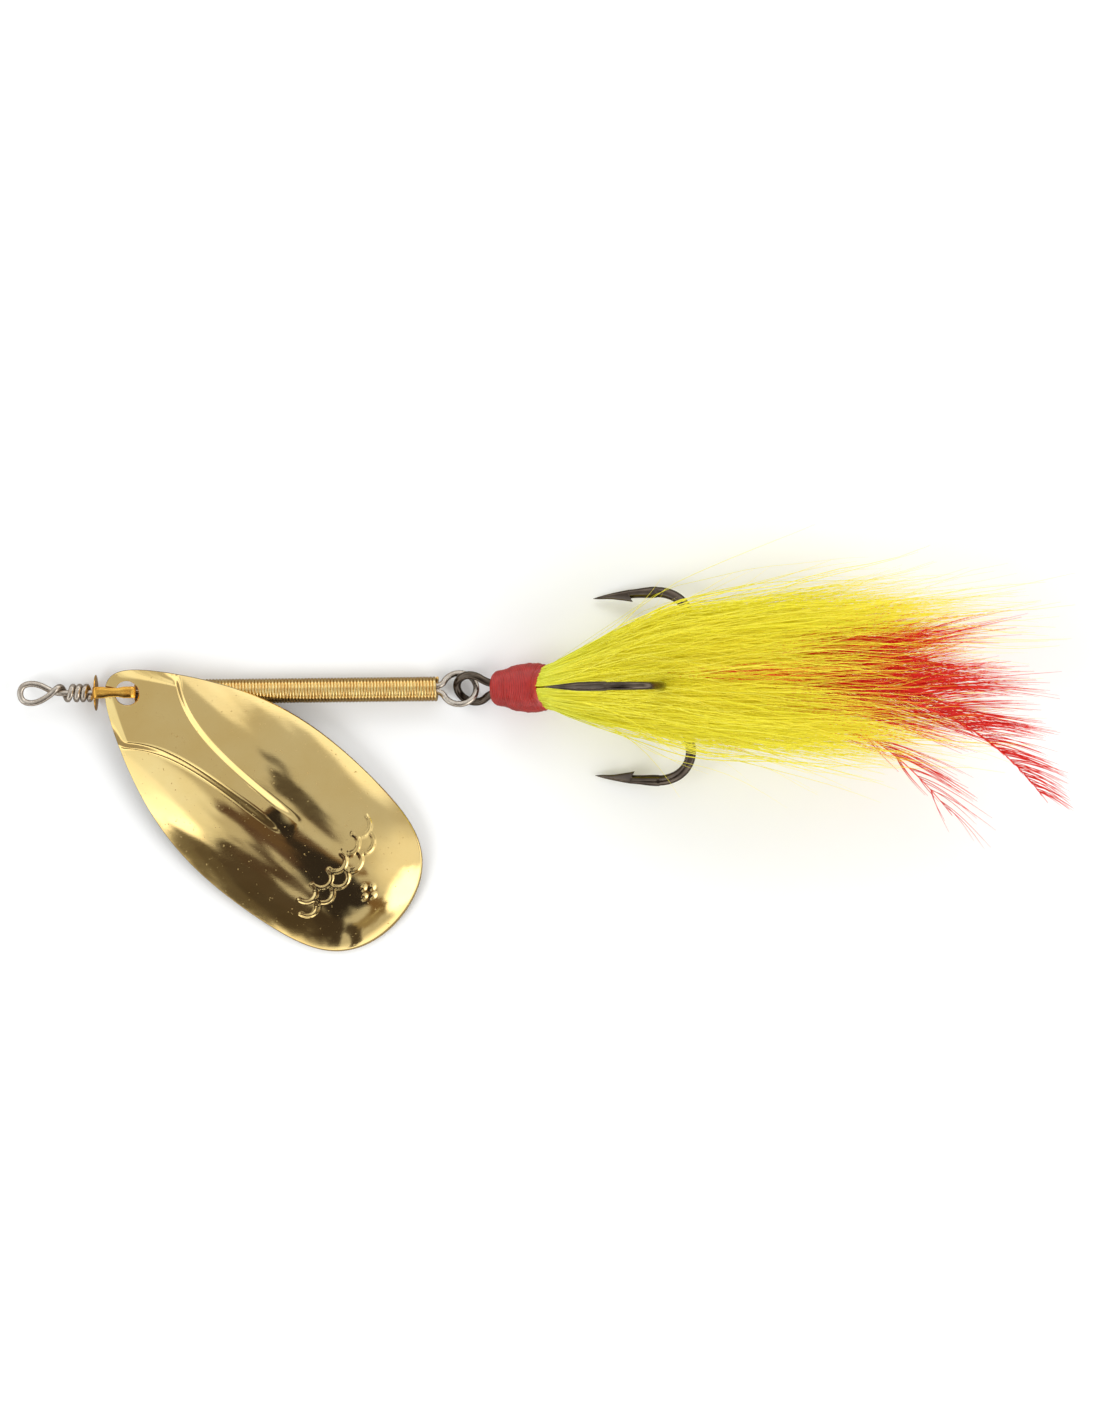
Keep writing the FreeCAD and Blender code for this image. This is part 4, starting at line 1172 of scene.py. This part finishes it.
def make_floor():
    material, tree, shader = new_material("pale_floor", Roughness=0.9)
    shader.inputs["Specular IOR Level"].default_value = 0.1
    faint = noise(tree, place_of(tree), 60.0)
    pale = mixed(tree, ranged(tree, faint, 0.3, 0.7), (0.92, 0.93, 0.94, 1), (0.90, 0.91, 0.92, 1))
    # painted reflection: in glossy reflections the floor is painted a dark grey instead of its pale colour
    mirrored = add_node(tree, "LightPath", {}).outputs["Is Glossy Ray"]
    tree.links.new(mixed(tree, mirrored, pale, FLOOR_PAINTED_DARK_IN_REFLECTIONS), shader.inputs["Base Color"])
    # the lights fade with distance, so the far floor glows a little to stay as pale
    where = add_node(tree, "TexCoord", {}).outputs["Object"]
    far = vector_math(tree, "LENGTH", where)["Value"]
    glow = ranged(tree, far, GLOW_START, GLOW_FULL, 0, GLOW)
    unmirrored = ranged(tree, mirrored, 0, 1, 1, 0)
    both = add_node(tree, "Math", {0: glow, 1: unmirrored}, operation="MULTIPLY")
    tree.links.new(both.outputs["Value"], shader.inputs["Emission Strength"])
    shader.inputs["Emission Color"].default_value = (1, 1, 1, 1)
    square = np.array([(-1, -1, 0), (1, -1, 0), (1, 1, 0), (-1, 1, 0)])
    corners = square * FLOOR_HALF + (0, 0, REST_Z - 0.01)
    floor = placed("floor", make_mesh("floor", corners, [np.array([[0, 1, 2, 3]])]))
    finish(floor.data, material)


def tilted(tilt, towards):
    """A direction tilt degrees off straight up, leaning towards a compass angle from +X."""
    lean = math.radians(tilt)
    way = math.radians(towards)
    return (math.sin(lean) * math.cos(way), math.sin(lean) * math.sin(way), math.cos(lean))


# what polished metal picks up: the room's own tones, then for each patch its tilt and compass
# angle, its inner and outer radius, all in degrees, and its colour
ROOM_TONE = (0.56, 0.545, 0.52, 1)
LOW_TONE = (1.45, 1.43, 1.38, 1)
HORIZON_TONE = (0.55, 0.52, 0.48, 1)
RIPPLE = 0.09
ROOM = (
    (44, 342, 6, 26, (0.95, 0.94, 0.90)),
    (58, 324, 9, 19, (2.60, 2.55, 2.45)),
    (47, 211, 6, 16, (0.92, 0.94, 0.93)),
    (62, 214, 6, 13, (2.30, 2.22, 2.10)),
    (33, 83, 5, 10, (1.05, 1.05, 1.05)),
    (39, 71, 5, 11, (1.25, 1.28, 1.32)),
    (44, 60, 5, 11, (1.30, 1.32, 1.35)),
    (47, 48, 5, 11, (1.25, 1.27, 1.28)),
    (49, 37, 5, 12, (1.20, 1.20, 1.18)),
    (63, 49, 8, 15, (1.60, 1.56, 1.45)),
    (61, 192, 12, 28, (0.98, 1.04, 1.08)),
    (33, 121, 7, 13, (1.12, 1.16, 1.18)),
    (48, 100, 8, 14, (1.12, 1.16, 1.18)),
    (67, 230, 4, 10, (0.170, 0.150, 0.125)),
    (62, 239, 7, 10, (0.120, 0.100, 0.080)),
    (58, 251, 9, 12, (0.075, 0.060, 0.050)),
    (57, 265, 9, 12, (0.055, 0.043, 0.038)),
    (62, 277, 7, 10, (0.070, 0.055, 0.045)),
    (56, 293, 8, 12, (0.300, 0.250, 0.170)),
    (49, 301, 5, 9, (0.200, 0.140, 0.080)),
    (50, 241, 5, 8, (0.085, 0.066, 0.055)),
    (40, 245, 6, 9, (0.085, 0.060, 0.050)),
    (30, 247, 5, 8, (0.110, 0.070, 0.060)),
    (21, 253, 5, 8, (0.130, 0.085, 0.060)),
    (18, 276, 5, 8, (0.100, 0.065, 0.050)),
    (21, 307, 5, 8, (0.200, 0.130, 0.070)),
    (33, 303, 5, 8, (0.200, 0.125, 0.060)),
    (42, 301, 5, 8, (0.190, 0.120, 0.065)),
    (13, 318, 5, 8, (0.110, 0.085, 0.075)),
    (8, 23, 6, 9.5, (0.100, 0.085, 0.075)),
    (38, 273, 11, 15, (0.030, 0.025, 0.027)),
    (29, 282, 7, 11, (0.030, 0.025, 0.027)),
    (50, 278, 1, 5, (0.340, 0.290, 0.200)),
    (58, 294, 1, 5, (0.42, 0.370, 0.250)),
    (8, 276, 1.5, 4.5, (3.00, 2.90, 2.80)),
)


def make_room():
    """A pale studio with the bright and dark shapes that polished metal picks up."""
    world = bpy.data.worlds.new("studio")
    bpy.context.scene.world = world
    world.use_nodes = True
    tree = world.node_tree
    back = next(n for n in tree.nodes if n.type == "BACKGROUND")
    where = add_node(tree, "TexCoord", {}).outputs["Generated"]
    # a slow ripple bends the patches' outlines
    ripple = add_node(tree, "TexNoise", {"Vector": where, "Scale": 4.0, "Detail": 3.0})
    shift = vector_math(tree, "ADD", ripple.outputs["Color"], (-0.5, -0.5, -0.5))["Vector"]
    bent = vector_math(tree, "MULTIPLY_ADD", shift, (RIPPLE, RIPPLE, RIPPLE), where)["Vector"]
    height = add_node(tree, "SeparateXYZ", {"Vector": where}).outputs["Z"]
    colour = mixed(tree, ranged(tree, height, 0.40, 0.30, shape="SMOOTHSTEP"), ROOM_TONE, LOW_TONE)
    colour = mixed(tree, ranged(tree, height, 0.10, 0.02, shape="SMOOTHSTEP"), colour, HORIZON_TONE)
    for tilt, towards, inner, outer, shade in ROOM:
        aim = vector_math(tree, "DOT_PRODUCT", bent, tilted(tilt, towards))["Value"]
        edges = np.cos(np.radians((outer, inner)))
        colour = mixed(tree, ranged(tree, aim, *edges, shape="SMOOTHSTEP"), colour, (*shade, 1))
    seen = add_node(tree, "LightPath", {}).outputs["Is Camera Ray"]
    colour = mixed(tree, seen, colour, (0.96, 0.96, 0.96, 1))
    tree.links.new(colour, back.inputs["Color"])
    back.inputs["Strength"].default_value = 1.0


def softbox(name, tilt, towards, distance, width, height, power):
    """A large soft light on everything; it stays out of the metal's reflections."""
    light = bpy.data.lights.new(name, "AREA")
    light.shape = "RECTANGLE"
    light.size = width * MM
    light.size_y = height * MM
    light.energy = power
    obj = placed(name, light)
    centre = Vector((70, 0, 0)) * MM
    aim = Vector(tilted(tilt, towards))
    obj.location = centre + aim * distance * MM
    obj.rotation_euler = aim.to_track_quat("Z", "Y").to_euler()
    obj.visible_glossy = False


def make_lights():
    softbox("softbox_left", 42, 205, 700, 380, 300, 1.3)
    softbox("softbox_right", 46, -20, 700, 380, 300, 1.3)
    softbox("softbox_back", 50, 92, 800, 700, 300, 1.5)


VIEW_HEIGHT = 191.97
CAMERA_DISTANCE = 600.0
CAMERA_TURN = -0.0115
VIEW_CENTRE = (69.39, -3.16)


def make_camera():
    """Straight down on the spinner, turned a little about the view line."""
    data = bpy.data.cameras.new("camera")
    data.sensor_width = 36.0
    data.lens = data.sensor_width * CAMERA_DISTANCE / VIEW_HEIGHT
    data.clip_start = 0.01
    data.clip_end = 100
    camera = placed("camera", data)
    camera.location = Vector((*VIEW_CENTRE, CAMERA_DISTANCE)) * MM
    camera.rotation_euler = (0, 0, CAMERA_TURN)
    bpy.context.scene.camera = camera


def finish_hidden_nodes():
    """The two pieces inside the thread keep their own shape, with a finish."""
    for node, material in (("hook_braze", BRAZE), ("thread_underwrap", THREAD)):
        finish(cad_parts[node].data, material)


make_shaft_wire()
make_body_coil()
make_bearing_bead()
make_blade_clevis()
make_spinner_blade()
make_hooks()
make_thread_whipping()
make_hair()
make_feathers()
parting_strands()
finish_hidden_nodes()
make_floor()
make_room()
make_lights()
make_camera()
bpy.context.scene.view_settings.view_transform = "Standard"
